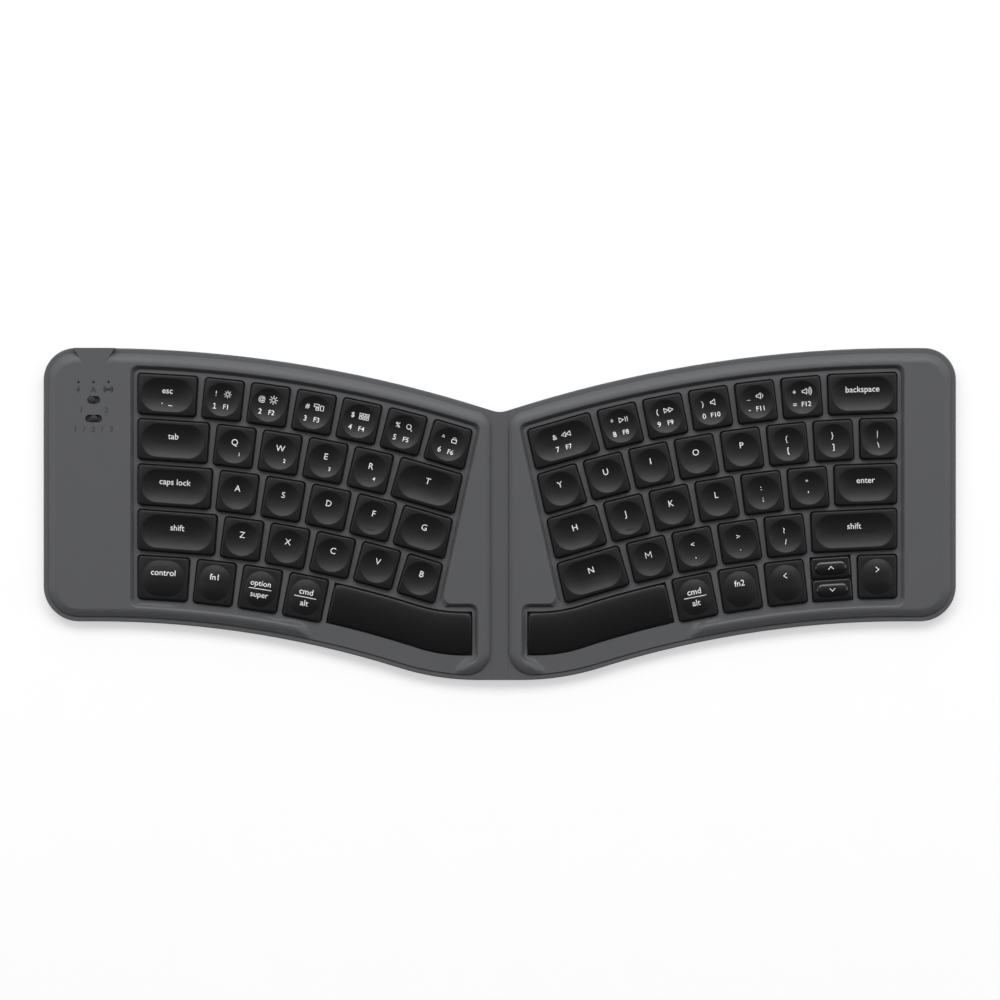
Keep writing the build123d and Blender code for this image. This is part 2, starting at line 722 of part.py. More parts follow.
def top_case(side):
    shell = prism(deck_outline(), LIP_HEIGHT, DECK_Z)
    shell = chamfer(shell.faces().sort_by(Axis.Z)[-1].edges(), EDGE_CHAMFER)
    if side == LEFT:
        shell += port_block()
    shell -= prism(cavity_outline(), LIP_HEIGHT, DECK_UNDER_Z)
    under_tray = offset(tray_outline(side), DECK_THICKNESS, kind=Kind.INTERSECTION)
    under_tray += scoop_outline() & cavity_outline()
    shell += prism(under_tray, TRAY_UNDER_Z, DECK_UNDER_Z + FUSE)
    shell += [prism(tab, LIP_HEIGHT - SNAP_TAB_DEPTH, DECK_UNDER_Z + FUSE) for tab in snap_tabs()]
    shell -= tray_cut(side)
    shell -= prism(scoop_outline(), TRAY_Z, DECK_Z + CUT)
    shell -= [prism(key.outline(0), TRAY_UNDER_Z - CUT, TRAY_Z + CUT) for key in keys_of_half(side)]
    if side == LEFT:
        holes = [switch_slot(OS_SWITCH_Y, OS_TRAVEL), switch_slot(LINK_SWITCH_Y, LINK_TRAVEL)]
        holes += [place * lamp_outline(LAMP_GAP) for place in lamp_places()]
        shell -= port_way()
        shell -= [prism(hole, DECK_UNDER_Z - CUT, DECK_Z + CUT) for hole in holes]
    return on_side(shell, side)


def tray_cut(side):
    return loft([Pos(0, 0, TRAY_Z) * tray_outline(side, TRAY_SLOPE), Pos(0, 0, DECK_Z) * tray_outline(side)])


def lamp_places():
    return [Pos(LAMP_U + i * LAMP_STEP, LAMP_Y) for i in (-1, 0, 1)]


def lamp_outline(grow=0.0):
    return RegularPolygon(LAMP_RADIUS + grow, LAMP_SIDES)


def key_field(side, reach):
    """The part of the floor that lies under the keys."""
    return cavity_outline(PLATE_GAP) & window(0, key_edge(side) + reach)


def key_plate(side):
    return on_side(prism(key_field(side, TRAY_MARGIN + PLATE_EDGE), PLATE_Z, MEMBRANE_Z), side)


def rubber_dome_places(key):
    if key.name != "arrow_pair":
        return [key.frame]
    depth = (hole_depth(LAST_ROW) - 2 * CAP_GAP + HALF_KEY_GAP) / 4
    return [key.frame * Pos(0, depth), key.frame * Pos(0, -depth)]


def rubber_dome(height):
    slope = degrees(atan((RUBBER_DOME_RADIUS - RUBBER_DOME_TOP) / height))
    return extrude(RegularPolygon(RUBBER_DOME_RADIUS, RUBBER_DOME_SIDES), amount=height, taper=slope)


def membrane(side):
    """The switch foil with a low rubber dome for each key, as tall as the pressed cap leaves room for."""
    sheet = prism(key_field(side, TRAY_MARGIN), MEMBRANE_Z, MEMBRANE_TOP_Z)
    domes = []
    for key in keys_of_half(side):
        dome = rubber_dome(roof_z(key) - KEY_TRAVEL - RUBBER_DOME_GAP - MEMBRANE_TOP_Z)
        domes += [Pos(0, 0, MEMBRANE_TOP_Z) * place * dome for place in rubber_dome_places(key)]
    return on_side(sheet + domes, side)


def main_board():
    middle = Pos(BOARD_U, BOARD_BACK_Y - BOARD_LENGTH / 2)
    outline = middle * Rectangle(BOARD_OUTER_U - BOARD_INNER_U, BOARD_LENGTH)
    outline = chamfer(corners_at(outline, BOARD_OUTER_U, BOARD_BACK_Y), BOARD_CORNER)
    board = prism(outline, BOARD_Z, BOARD_TOP_Z)
    switch_body = Rectangle(SWITCH_BODY_LENGTH, SWITCH_BODY_WIDTH)
    for y in (OS_SWITCH_Y, LINK_SWITCH_Y):
        board += prism(Pos(SWITCH_U, y) * switch_body, BOARD_TOP_Z, FLANGE_Z - FLANGE_GAP)
    lamp_chip = Rectangle(LAMP_CHIP_LENGTH, LAMP_CHIP_WIDTH)
    for place in lamp_places():
        board += prism(place * lamp_chip, BOARD_TOP_Z, BOARD_TOP_Z + LAMP_CHIP_HEIGHT)
    chip = Pos(CHIP_U, BOARD_FRONT_Y + CHIP_INSET) * Rectangle(CHIP_SIDE, CHIP_SIDE)
    return on_side(board + prism(chip, BOARD_TOP_Z, BOARD_TOP_Z + CHIP_HEIGHT), LEFT)


def usb_port():
    socket = extrude(port_opening(0), amount=PORT_DEPTH, dir=(0, -1, 0))
    inside = extrude(port_opening(-PORT_WALL), amount=PORT_DEPTH - PORT_WALL, dir=(0, -1, 0))
    tongue_width = PORT_WIDTH - PORT_HEIGHT + PORT_TONGUE
    tongue_align = (Align.CENTER, Align.MAX, Align.CENTER)
    tongue = Box(tongue_width, PORT_DEPTH - 2 * PORT_WALL, PORT_TONGUE, align=tongue_align)
    middle = Pos(PORT_U, BACK_Y - 2 * PORT_WALL, BOARD_TOP_Z + PORT_HEIGHT / 2)
    return on_side(Pos(0, -PORT_SETBACK, 0) * (socket - inside + middle * tongue), LEFT)


def battery():
    outline = Pos(BATTERY_U, BATTERY_Y) * trimmed(Rectangle(BATTERY_WIDTH, BATTERY_LENGTH), BATTERY_CORNER)
    return on_side(prism(outline, FLOOR_Z, FLOOR_Z + BATTERY_THICKNESS), LEFT)


def slider(y, travel, start):
    """A switch knob in its slot, kept in by a flange under the deck."""
    place = Pos(SWITCH_U - start, y)
    knob = place * slot(KNOB_LENGTH, SLOT_HEIGHT - 2 * KNOB_GAP)
    flange = place * Rectangle(KNOB_LENGTH + 2 * travel + 2 * FLANGE_LIP, SLOT_HEIGHT + 2 * FLANGE_LIP)
    solid = prism(knob, DECK_UNDER_Z - KNOB_GAP, DECK_Z - KNOB_SUNK)
    solid += prism(flange, FLANGE_Z, DECK_UNDER_Z - KNOB_GAP)
    return on_side(solid, LEFT)


def light_pipe():
    """Three clear pins on one bar, up through the deck."""
    bar_z = DECK_UNDER_Z - KNOB_GAP - LIGHT_BAR_THICKNESS
    bar = Pos(LAMP_U, LAMP_Y) * Rectangle(2 * LAMP_STEP + LIGHT_BAR_WIDTH, LIGHT_BAR_WIDTH)
    pins = [prism(place * lamp_outline(), bar_z, DECK_Z) for place in lamp_places()]
    return on_side(prism(bar, bar_z, DECK_UNDER_Z - KNOB_GAP) + pins, LEFT)


def hinge_strip():
    strip = whole_outline() & window(-CREASE_U, CREASE_U)
    return prism(strip, LIP_HEIGHT - FLOOR_THICKNESS, LIP_HEIGHT)


def all_parts():
    parts = {
        "top_case_left": top_case(LEFT),
        "top_case_right": top_case(RIGHT),
        "bottom_case_left": bottom_case(LEFT),
        "bottom_case_right": bottom_case(RIGHT),
        "hinge_strip": hinge_strip(),
        "key_plate_left": key_plate(LEFT),
        "key_plate_right": key_plate(RIGHT),
        "membrane_left": membrane(LEFT),
        "membrane_right": membrane(RIGHT),
        "main_board": main_board(),
        "usb_port": usb_port(),
        "battery": battery(),
        "os_slider": slider(OS_SWITCH_Y, OS_TRAVEL, -OS_TRAVEL / 2),
        "link_slider": slider(LINK_SWITCH_Y, LINK_TRAVEL, 0),
        "light_pipe": light_pipe(),
        "rubber_feet_left": rubber_feet(LEFT),
        "rubber_feet_right": rubber_feet(RIGHT),
    }
    caps = key_caps()
    for node, names in GROUPS.items():
        parts[node] = Compound(children=[solid for name in names for solid in caps.pop(name).solids()])
    for name, cap in caps.items():
        parts["key_" + name] = cap
    return parts


def main():
    os.makedirs("parts", exist_ok=True)
    for name, part in all_parts().items():
        export_step(part, os.path.join("parts", name + ".step"))


main()
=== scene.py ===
import math
import bpy
from mathutils import Matrix, Vector


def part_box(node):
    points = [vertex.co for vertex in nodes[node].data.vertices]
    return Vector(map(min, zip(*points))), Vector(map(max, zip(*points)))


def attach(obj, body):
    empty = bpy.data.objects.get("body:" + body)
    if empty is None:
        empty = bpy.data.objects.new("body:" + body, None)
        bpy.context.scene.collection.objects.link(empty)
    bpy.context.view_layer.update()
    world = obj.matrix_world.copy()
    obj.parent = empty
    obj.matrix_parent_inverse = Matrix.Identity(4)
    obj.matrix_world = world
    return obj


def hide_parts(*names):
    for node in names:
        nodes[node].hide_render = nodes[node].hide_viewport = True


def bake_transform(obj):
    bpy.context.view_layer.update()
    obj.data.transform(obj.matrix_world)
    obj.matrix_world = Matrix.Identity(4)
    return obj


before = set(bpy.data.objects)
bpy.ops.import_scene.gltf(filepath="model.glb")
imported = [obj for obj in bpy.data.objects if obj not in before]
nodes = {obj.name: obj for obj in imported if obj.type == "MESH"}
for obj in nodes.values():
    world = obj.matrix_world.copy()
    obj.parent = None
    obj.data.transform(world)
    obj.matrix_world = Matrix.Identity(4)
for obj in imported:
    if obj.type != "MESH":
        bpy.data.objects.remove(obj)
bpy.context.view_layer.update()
mm = 0.001  # the frame is in metres
deckTop = 7.8 * mm
trayTop = 5.8 * mm
lipTop = 5.1 * mm
mergeReach = 0.002 * mm
flatAngle = math.radians(0.4)  # CAD faces that meet flatter than this become one


# Selecting and editing
def pick(*pieces):
    bpy.ops.object.select_all(action="DESELECT")
    for piece in pieces:
        piece.select_set(True)
    bpy.context.view_layer.objects.active = pieces[0]


def mode(name):
    bpy.ops.object.mode_set(mode=name)


def selectParts(piece, kind, test):
    pick(piece)
    mode("EDIT")
    bpy.ops.mesh.select_mode(type=kind)
    bpy.ops.mesh.select_all(action="DESELECT")
    mode("OBJECT")
    mesh = piece.data
    parts = {"VERT": mesh.vertices, "EDGE": mesh.edges, "FACE": mesh.polygons}[kind]
    for part in parts:
        part.select = test(part)
    mode("EDIT")


def edgeTest(piece, test):
    points = piece.data.vertices
    return lambda edge: test(points[edge.vertices[0]].co, points[edge.vertices[1]].co)


def named(piece, name):
    piece.name = name
    piece.data.name = name
    return piece


def recalc(piece):
    pick(piece)
    mode("EDIT")
    bpy.ops.mesh.select_all(action="SELECT")
    bpy.ops.mesh.normals_make_consistent(inside=False)
    mode("OBJECT")


def smooth(piece, angle=30):
    pick(piece)
    bpy.ops.object.shade_smooth_by_angle(angle=math.radians(angle))


def applyModifier(piece, kind, **values):
    pick(piece)
    modifier = piece.modifiers.new(kind.lower(), kind)
    for name, value in values.items():
        setattr(modifier, name, value)
    bpy.ops.object.modifier_apply(modifier=modifier.name)


def cut(piece, cutter, operation="DIFFERENCE"):
    applyModifier(piece, "BOOLEAN", operation=operation, object=cutter, solver="EXACT")
    bpy.data.objects.remove(cutter)


def duplicate(piece, place, name):
    copy = bpy.data.objects.new(name, piece.data.copy())
    bpy.context.collection.objects.link(copy)
    copy.data.transform(place)
    copy.data.name = name
    return copy


def joined(pieces, name):
    pick(*pieces)
    if len(pieces) > 1:
        bpy.ops.object.join()
    return named(bpy.context.view_layer.objects.active, name)


# The CAD node's own form as a new mesh, with its split points merged
def copyNode(node, name):
    piece = bpy.data.objects.new(name, nodes[node].data.copy())
    bpy.context.collection.objects.link(piece)
    piece.data.transform(nodes[node].matrix_world)
    piece.data.materials.clear()
    piece.data.name = name
    pick(piece)
    mode("EDIT")
    bpy.ops.mesh.select_all(action="SELECT")
    bpy.ops.mesh.remove_doubles(threshold=mergeReach)
    bpy.ops.mesh.dissolve_limited(angle_limit=flatAngle)
    mode("OBJECT")
    return piece


# Bevels the edges that the rule gives a share of the width
def roundEdges(piece, width, rule, segments=3):
    mesh = piece.data
    sides = {}
    for face in mesh.polygons:
        for key in face.edge_keys:
            sides.setdefault(key, []).append(face.normal.copy())
    weights = mesh.attributes.new("bevel_weight_edge", "FLOAT", "EDGE")
    for edge in mesh.edges:
        normals = sides.get(edge.key, [])
        if len(normals) == 2 and normals[0].dot(normals[1]) < 0.998:
            a, b = (mesh.vertices[i].co for i in edge.vertices)
            weights.data[edge.index].value = rule(a, b, normals[0], normals[1])
    applyModifier(piece, "BEVEL", limit_method="WEIGHT", width=width, segments=segments,
                  use_clamp_overlap=False, miter_outer="MITER_ARC", loop_slide=True)


# Node groups shared by the materials
def nodeGroup(name, inputs, outputs):
    group = bpy.data.node_groups.new(name, "ShaderNodeTree")
    for label, kind, value in inputs:
        socket = group.interface.new_socket(name=label, in_out="INPUT", socket_type=kind)
        if value is not None:
            socket.default_value = value
    for label, kind in outputs:
        group.interface.new_socket(name=label, in_out="OUTPUT", socket_type=kind)
    return group


def addNode(tree, kind, values=None, **links):
    node = tree.nodes.new(kind)
    for name, value in (values or {}).items():
        if name in node.inputs:
            node.inputs[name].default_value = value
        else:
            setattr(node, name, value)
    for name, source in links.items():
        tree.links.new(source, node.inputs[name.replace("_", " ")])
    return node


# A Math node, whose inputs are sockets or plain numbers
def mathNode(tree, operation, *values):
    node = addNode(tree, "ShaderNodeMath", {"operation": operation})
    for socket, value in zip(node.inputs, values):
        if isinstance(value, (int, float)):
            socket.default_value = value
        else:
            tree.links.new(value, socket)
    return node.outputs[0]


# The fine spark-eroded texture of moulded plastic, with a slow unevenness of its tone
def mouldedGrain():
    group = nodeGroup("mouldedGrain",
                      [("Vector", "NodeSocketVector", None), ("Scale", "NodeSocketFloat", 5200.0),
                       ("Depth", "NodeSocketFloat", 0.35), ("Colour", "NodeSocketColor", (0.1, 0.1, 0.1, 1)),
                       ("Unevenness", "NodeSocketFloat", 0.05)],
                      [("Colour", "NodeSocketColor"), ("Roughness", "NodeSocketFloat"),
                       ("Normal", "NodeSocketVector")])
    start = group.nodes.new("NodeGroupInput")
    end = group.nodes.new("NodeGroupOutput")
    fine = addNode(group, "ShaderNodeTexNoise", {"Detail": 3.0, "Roughness": 0.6},
                   Vector=start.outputs["Vector"], Scale=start.outputs["Scale"])
    slow = addNode(group, "ShaderNodeTexNoise", {"Scale": 38.0, "Detail": 2.0},
                   Vector=start.outputs["Vector"])
    spread = mathNode(group, "SUBTRACT", slow.outputs["Fac"], 0.5)
    scaled = mathNode(group, "MULTIPLY", spread, start.outputs["Unevenness"])
    shade = mathNode(group, "ADD", scaled, 1.0)
    tint = addNode(group, "ShaderNodeVectorMath", {"operation": "SCALE"}, Scale=shade)
    group.links.new(start.outputs["Colour"], tint.inputs[0])
    rough = addNode(group, "ShaderNodeMapRange", {"From Min": 0.3, "From Max": 0.7, "To Min": -0.04,
                                                  "To Max": 0.04}, Value=fine.outputs["Fac"])
    bump = addNode(group, "ShaderNodeBump", {"Distance": 0.02 * mm}, Strength=start.outputs["Depth"],
                   Height=fine.outputs["Fac"])
    group.links.new(tint.outputs[0], end.inputs["Colour"])
    group.links.new(rough.outputs[0], end.inputs["Roughness"])
    group.links.new(bump.outputs["Normal"], end.inputs["Normal"])
    return group


# How far an edge or corner is polished by use, from 0 to 1
def edgeWear():
    group = nodeGroup("edgeWear", [("Vector", "NodeSocketVector", None), ("Reach", "NodeSocketFloat", 0.53)],
                      [("Mask", "NodeSocketFloat")])
    start = group.nodes.new("NodeGroupInput")
    end = group.nodes.new("NodeGroupOutput")
    form = addNode(group, "ShaderNodeNewGeometry")
    patch = addNode(group, "ShaderNodeTexNoise", {"Scale": 260.0, "Detail": 4.0},
                    Vector=start.outputs["Vector"])
    edge = addNode(group, "ShaderNodeMapRange", {"From Max": 0.62}, Value=form.outputs["Pointiness"])
    group.links.new(start.outputs["Reach"], edge.inputs["From Min"])
    both = mathNode(group, "MULTIPLY", edge.outputs[0], patch.outputs["Fac"])
    group.links.new(both, end.inputs["Mask"])
    return group


grainGroup = mouldedGrain()
wearGroup = edgeWear()


def plastic(name, colour, roughness, scale=5200.0, depth=0.35, unevenness=0.05, wear=0.0, gloss=0.5):
    material = bpy.data.materials.new(name)
    material.use_nodes = True
    tree = material.node_tree
    shader = tree.nodes["Principled BSDF"]
    place = addNode(tree, "ShaderNodeTexCoord")
    grain = addNode(tree, "ShaderNodeGroup", {"node_tree": grainGroup})
    grain.inputs["Scale"].default_value = scale
    grain.inputs["Depth"].default_value = depth
    grain.inputs["Colour"].default_value = (*colour, 1)
    grain.inputs["Unevenness"].default_value = unevenness
    tree.links.new(place.outputs["Object"], grain.inputs["Vector"])
    tree.links.new(grain.outputs["Colour"], shader.inputs["Base Color"])
    tree.links.new(grain.outputs["Normal"], shader.inputs["Normal"])
    rough = mathNode(tree, "ADD", grain.outputs["Roughness"], roughness)
    if wear:
        worn = addNode(tree, "ShaderNodeGroup", {"node_tree": wearGroup})
        tree.links.new(place.outputs["Object"], worn.inputs["Vector"])
        rough = mathNode(tree, "MULTIPLY_ADD", worn.outputs["Mask"], -wear, rough)
    tree.links.new(rough, shader.inputs["Roughness"])
    shader.inputs["Specular IOR Level"].default_value = gloss
    return material


materials = {
    "case": plastic("casePlastic", (0.071, 0.072, 0.076), 0.56, wear=0.15),
    "keycap": plastic("keyPlastic", (0.006, 0.006, 0.0064), 0.38, scale=6500.0, depth=0.2, wear=0.1,
                      gloss=0.32),
    "glossKey": plastic("glossyKeyPlastic", (0.006, 0.006, 0.0064), 0.15, scale=2600.0, depth=0.4),
    "strip": plastic("stripRubber", (0.068, 0.069, 0.073), 0.66, scale=3800.0, depth=0.5),
    "print": plastic("whitePrint", (0.8, 0.8, 0.8), 0.5, depth=0.1),
    "darkPrint": plastic("darkPrint", (0.022, 0.022, 0.024), 0.5, depth=0.1),
    "knob": plastic("knobPlastic", (0.016, 0.016, 0.017), 0.42, wear=0.1),
    "clear_plastic": plastic("lampPlastic", (0.012, 0.012, 0.013), 0.12, depth=0.05),
    "foot_rubber": plastic("footRubber", (0.03, 0.03, 0.031), 0.75, scale=3000.0, depth=0.6),
    # The key plate and the membrane are coloured near black as painted shade, so that the gaps between the
    # caps read dark
    "steel": plastic("gapShadeSteel", (0.02, 0.02, 0.021), 0.45, scale=900.0, depth=0.15),
    "dome_rubber": plastic("siliconeFoil", (0.035, 0.035, 0.037), 0.5, scale=2000.0, depth=0.2),
    "circuit_board": plastic("solderMask", (0.012, 0.075, 0.04), 0.3, scale=1500.0, depth=0.4),
    "plated_steel": plastic("platedSteel", (0.6, 0.6, 0.6), 0.22, scale=1200.0, depth=0.1),
    "foil_wrap": plastic("foilWrap", (0.3, 0.3, 0.31), 0.35, scale=800.0, depth=0.3),
}
for metal in ("plated_steel", "foil_wrap"):
    materials[metal].node_tree.nodes["Principled BSDF"].inputs["Metallic"].default_value = 1.0


def dress(piece, material, slot, body, *replaced):
    piece.data.materials.clear()
    piece.data.materials.append(materials[material])
    if body:
        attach(piece, body)
    if replaced:
        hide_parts(*replaced)
    return piece


print("materials made")


# The shells: the CAD forms, with the edges rounded as a mould rounds them
shell = {"fillet": 2.1 * mm, "lip": 0.7 * mm, "segments": 4, "smooth": 24, "underside": 6.6 * mm,
         "slope run": 2.04 * mm, "middle": 60 * mm, "front field": -30 * mm, "front middle": -48 * mm,
         "strip half": 3.8 * mm, "ramp foot": 4.9 * mm, "ramp steps": 6, "ramp room": 8 * mm,
         "ramp lift": 0.01 * mm}
shares = {"front": 0.7, "more behind": 0.3, "rim": 0.21, "more in front": 0.13, "less at the side": 0.08,
          "slot": 0.06, "hole": 0.07, "lip by the strip": 0.08}  # of the fillet, or of the lip
rimEnds = (21 * mm, 77 * mm)  # where the raised front rim ends, beside and before the space bar
ramps = [
    {"end": 80 * mm, "full": 85.5 * mm, "edge": -44 * mm, "slant": -0.37},
    {"end": 14.2 * mm, "full": 9.0 * mm, "edge": -58.5 * mm, "slant": 0.8},
]


def near(value, level, reach=0.02 * mm):
    return abs(value - level) < reach


def eased(share):
    share = min(1, max(0, share))
    return share * share * (3 - 2 * share)


# Whether a wall faces away from the middle of its half
def outward(place, normal):
    middle = Vector((math.copysign(shell["middle"], place.x), 0, 0))
    if abs(place.x) < shell["middle"] and place.y < shell["front field"]:  # round the space bar
        middle.y = shell["front middle"]
    inside = middle - place
    return normal.x * inside.x + normal.y * inside.y < 0


# The points along a chain of edges, from its start
def edgeRun(start, keys):
    run = [start]
    while True:
        onward = [i for key in keys if run[-1] in key for i in key if i not in run[-2:]]
        if not onward:
            return run
        run.append(onward[0])


# Lays the outer slope again as one run of four-sided faces, so that its fillet comes out even
def cleanSlope(deck):
    selectParts(deck, "FACE", lambda face: near(face.normal.z, 0.7071, 0.03) and face.center.z > trayTop
                and outward(face.center, face.normal))
    bpy.ops.mesh.delete(type="FACE")
    mode("OBJECT")
    used = {}
    for face in deck.data.polygons:
        for key in face.edge_keys:
            used[key] = used.get(key, 0) + 1
    nets = []  # the border of each opening: its points and its edges
    for key in (key for key, count in used.items() if count == 1):
        joins = [net for net in nets if net[0] & set(key)]
        nets = [net for net in nets if not net[0] & set(key)]
        ends = set(key).union(*[net[0] for net in joins])
        nets.append((ends, [key] + [other for net in joins for other in net[1]]))
    for ends, keys in nets:
        places = {i: deck.data.vertices[i].co.copy() for i in ends}
        level = [key for key in keys if near(places[key[0]].z, places[key[1]].z)]
        steep = [key for key in keys if key not in level][0]
        upper, lower = (edgeRun(i, level) for i in sorted(steep, key=lambda i: -places[i].z))
        rungs, last = [(0, 0)], 0  # the points of both edges that stand across from each other
        for i in range(1, len(upper) - 1):
            for j in range(last + 1, len(lower) - 1):
                if (places[upper[i]] - places[lower[j]]).to_2d().length < shell["slope run"]:
                    rungs.append((i, j))
                    last = j
                    break
        rungs.append((len(upper) - 1, len(lower) - 1))
        for (i, j), (k, m) in zip(rungs, rungs[1:]):
            cell = {tuple(sorted(pair)) for run in (upper[i:k + 1], lower[j:m + 1])
                    for pair in zip(run, run[1:])}
            selectParts(deck, "EDGE", lambda edge: tuple(sorted(edge.vertices)) in cell)
            bpy.ops.mesh.bridge_edge_loops()
            mode("OBJECT")
    recalc(deck)


# The outer edge gets the whole fillet, the rim of the tray a part of it, the slots and holes a trace
def deckRule(a, b, one, other):
    if near(a.z, deckTop) and near(b.z, deckTop):
        wall = min(one, other, key=lambda normal: normal.z)
        if near(wall.z, 0.7071, 0.04) and outward(a, wall):
            return shares["front"] + shares["more behind"] * eased((wall.y + 0.65) / 0.6)
        if wall.z < 0.3:
            return shares["slot"]
        return (shares["rim"] + shares["more in front"] * eased((wall.y - 0.25) / 0.7)
                - shares["less at the side"] * eased((abs(wall.x) - 0.2) / 0.5))
    if near(a.z, trayTop) and near(b.z, trayTop) and min(one.z, other.z) < 0.1 < max(one.z, other.z):
        atRimEnd = max(a.y, b.y) < ramps[0]["edge"] and any(
            near(abs(a.x), x, 0.1 * mm) and near(abs(b.x), x, 0.1 * mm) for x in rimEnds)
        return 0.0 if atRimEnd else shares["hole"]
    return 0.0


def lowerRule(a, b, one, other):
    if near(a.z, lipTop) and near(b.z, lipTop) and max(one.z, other.z) > 0.99:
        return 1.0 if min(abs(a.x), abs(b.x)) > shell["strip half"] else shares["lip by the strip"]
    return 0.0


# Lets the raised rim run out softly where the low front edge before the space bar begins or ends.
# The rim has its whole height at full and none at end, and the lines between them slant.
def runOut(deck, sign, end, full, edge, slant):
    def isRim(place):
        low, high = min(end, full) - shell["ramp room"], max(end, full) + shell["ramp room"]
        return place.y < edge and place.z > trayTop + 0.02 * mm and low < abs(place.x) < high
    points = deck.data.vertices
    for i in range(shell["ramp steps"] + 1):
        line = full + (end - full) * i / shell["ramp steps"]
        selectParts(deck, "FACE", lambda face: any(isRim(points[j].co) for j in face.vertices))
        bpy.ops.mesh.bisect(plane_co=(sign * line, edge, 0), plane_no=(sign, slant, 0))
        mode("OBJECT")
        points = deck.data.vertices
    under = {i for face in deck.data.polygons
             if face.normal.z < -0.9 and near(face.center.z, shell["underside"]) for i in face.vertices}
    for point in points:
        if isRim(point.co):
            left = eased((abs(point.co.x) + slant * (point.co.y - edge) - end) / (full - end))
            level = shell["ramp foot"] if point.index in under else trayTop
            point.co.z = level + shell["ramp lift"] * (1 - left) + (point.co.z - level) * left


for side, sign in (("left", -1), ("right", 1)):
    deck = copyNode("top_case_" + side, "deckShell" + side.title())
    cleanSlope(deck)
    roundEdges(deck, shell["fillet"], deckRule, shell["segments"])
    for ramp in ramps:
        runOut(deck, sign, **ramp)
    smooth(deck, shell["smooth"])
    applyModifier(deck, "WEIGHTED_NORMAL", keep_sharp=True)
    dress(deck, "case", "case", side + "_half", "top_case_" + side)
    lower = copyNode("bottom_case_" + side, "lowerShell" + side.title())
    roundEdges(lower, shell["lip"], lowerRule)
    smooth(lower, shell["smooth"])
    applyModifier(lower, "WEIGHTED_NORMAL", keep_sharp=True)
    dress(lower, "case", "case", side + "_half", "bottom_case_" + side)
print("shells made")


# Key caps
cap = {"corner": 1.3 * mm, "edge": 0.4 * mm, "gap": 0.45 * mm, "less": 0.16 * mm, "wall": 1.0 * mm,
       "top": 8.4 * mm, "plate": 7.5 * mm, "ceiling": 6.83 * mm, "base": 4.95 * mm, "smooth": 35}
collar = {"wall": 0.25 * mm, "inside": 0.02 * mm, "base": 4.85 * mm, "proud": 0.012 * mm,
          "wider corner": 0.4 * mm, "bore": (4 * mm, 6.5 * mm)}
dish = {"margin": 1.45 * mm, "depth": 1.05 * mm, "rings": 7, "above": 1 * mm}
dome = {"margin": 1.5 * mm, "depth": 0.88 * mm, "wide cap": 18 * mm, "wide radius": 7.1 * mm,
        "root": 0.5 * mm}
pill = {"radius": 2.9 * mm, "run": 7.6 * mm, "rings": 9}
fieldSides = 56


# The convex outline of points in plan
def hull(points):
    points = sorted(set((round(p[0], 7), round(p[1], 7)) for p in points))

    def half(run):
        kept = []
        for p in run:
            while len(kept) > 1 and ((kept[-1][0] - kept[-2][0]) * (p[1] - kept[-2][1])
                                     - (kept[-1][1] - kept[-2][1]) * (p[0] - kept[-2][0])) < 1e-9:
                kept.pop()
            kept.append(p)
        return kept[:-1]
    return half(points) + half(reversed(points))


# The four corners in plan of each cap of a node, from left to right
def capPlans(node):
    piece = copyNode(node, "plan")
    pick(piece)
    mode("EDIT")
    bpy.ops.mesh.select_all(action="SELECT")
    bpy.ops.mesh.separate(type="LOOSE")
    mode("OBJECT")
    loose = list(bpy.context.selected_objects)
    plans = []
    for part in loose:
        low = min(p.co.z for p in part.data.vertices)
        plans.append(hull([p.co for p in part.data.vertices if p.co.z < low + 0.05 * mm]))
        bpy.data.objects.remove(part)
    return sorted(plans, key=lambda plan: sum(p[0] for p in plan))


# The place of one cap: its corners, its turn and its own frame
class Plan:
    def __init__(self, corners):
        points = [Vector(c) for c in corners]
        start = min(range(4), key=lambda i: points[i].x + points[i].y)
        self.corners = points[start:] + points[:start]
        a, b, c, d = self.corners
        along = (b - a).normalized() + (c - d).normalized()
        self.turn = math.atan2(along.y, along.x)
        self.centre = (a + b + c + d) / 4
        self.width = ((b + c) / 2 - (a + d) / 2).length
        self.depth = ((c + d) / 2 - (a + b) / 2).length
        self.frame = Matrix.Translation((*self.centre, 0)) @ Matrix.Rotation(self.turn, 4, "Z")


# Four corners moved out, so that each side lies further out by the extra
def widened(corners, extra):
    middle = sum(corners, Vector((0, 0))) / 4
    moved = []
    for i, corner in enumerate(corners):
        before, after = (corner - corners[i - 1]).normalized(), (corners[(i + 1) % 4] - corner).normalized()
        moved.append(corner + (before - after) * extra / abs(before.cross(after)))
    return moved


# The rounded inner edge of one key hole, set in the square one of the shell
def holeCollar(corners):
    ring = plainBlock("collar", widened(corners, cap["gap"] + collar["wall"]), collar["base"],
                      trayTop + collar["proud"])
    bore = plainBlock("bore", widened(corners, cap["gap"] - collar["inside"]), *collar["bore"])
    roundCorners(bore, cap["corner"] + collar["wider corner"])
    cut(ring, bore)
    return ring


def plainBlock(name, corners, low, high):
    bpy.ops.mesh.primitive_cube_add(size=1)
    block = named(bpy.context.object, name)
    for point in block.data.vertices:
        place = {(-1, -1): 0, (1, -1): 1, (1, 1): 2, (-1, 1): 3}[
            (1 if point.co.x > 0 else -1, 1 if point.co.y > 0 else -1)]
        point.co = (corners[place].x, corners[place].y, high if point.co.z > 0 else low)
    return block


# Rounds the upright edges
def roundCorners(block, radius):
    selectParts(block, "EDGE", edgeTest(block, lambda a, b: abs(a.z - b.z) > 1 * mm))
    bpy.ops.mesh.bevel(offset=radius, segments=5, profile=0.5)
    mode("OBJECT")


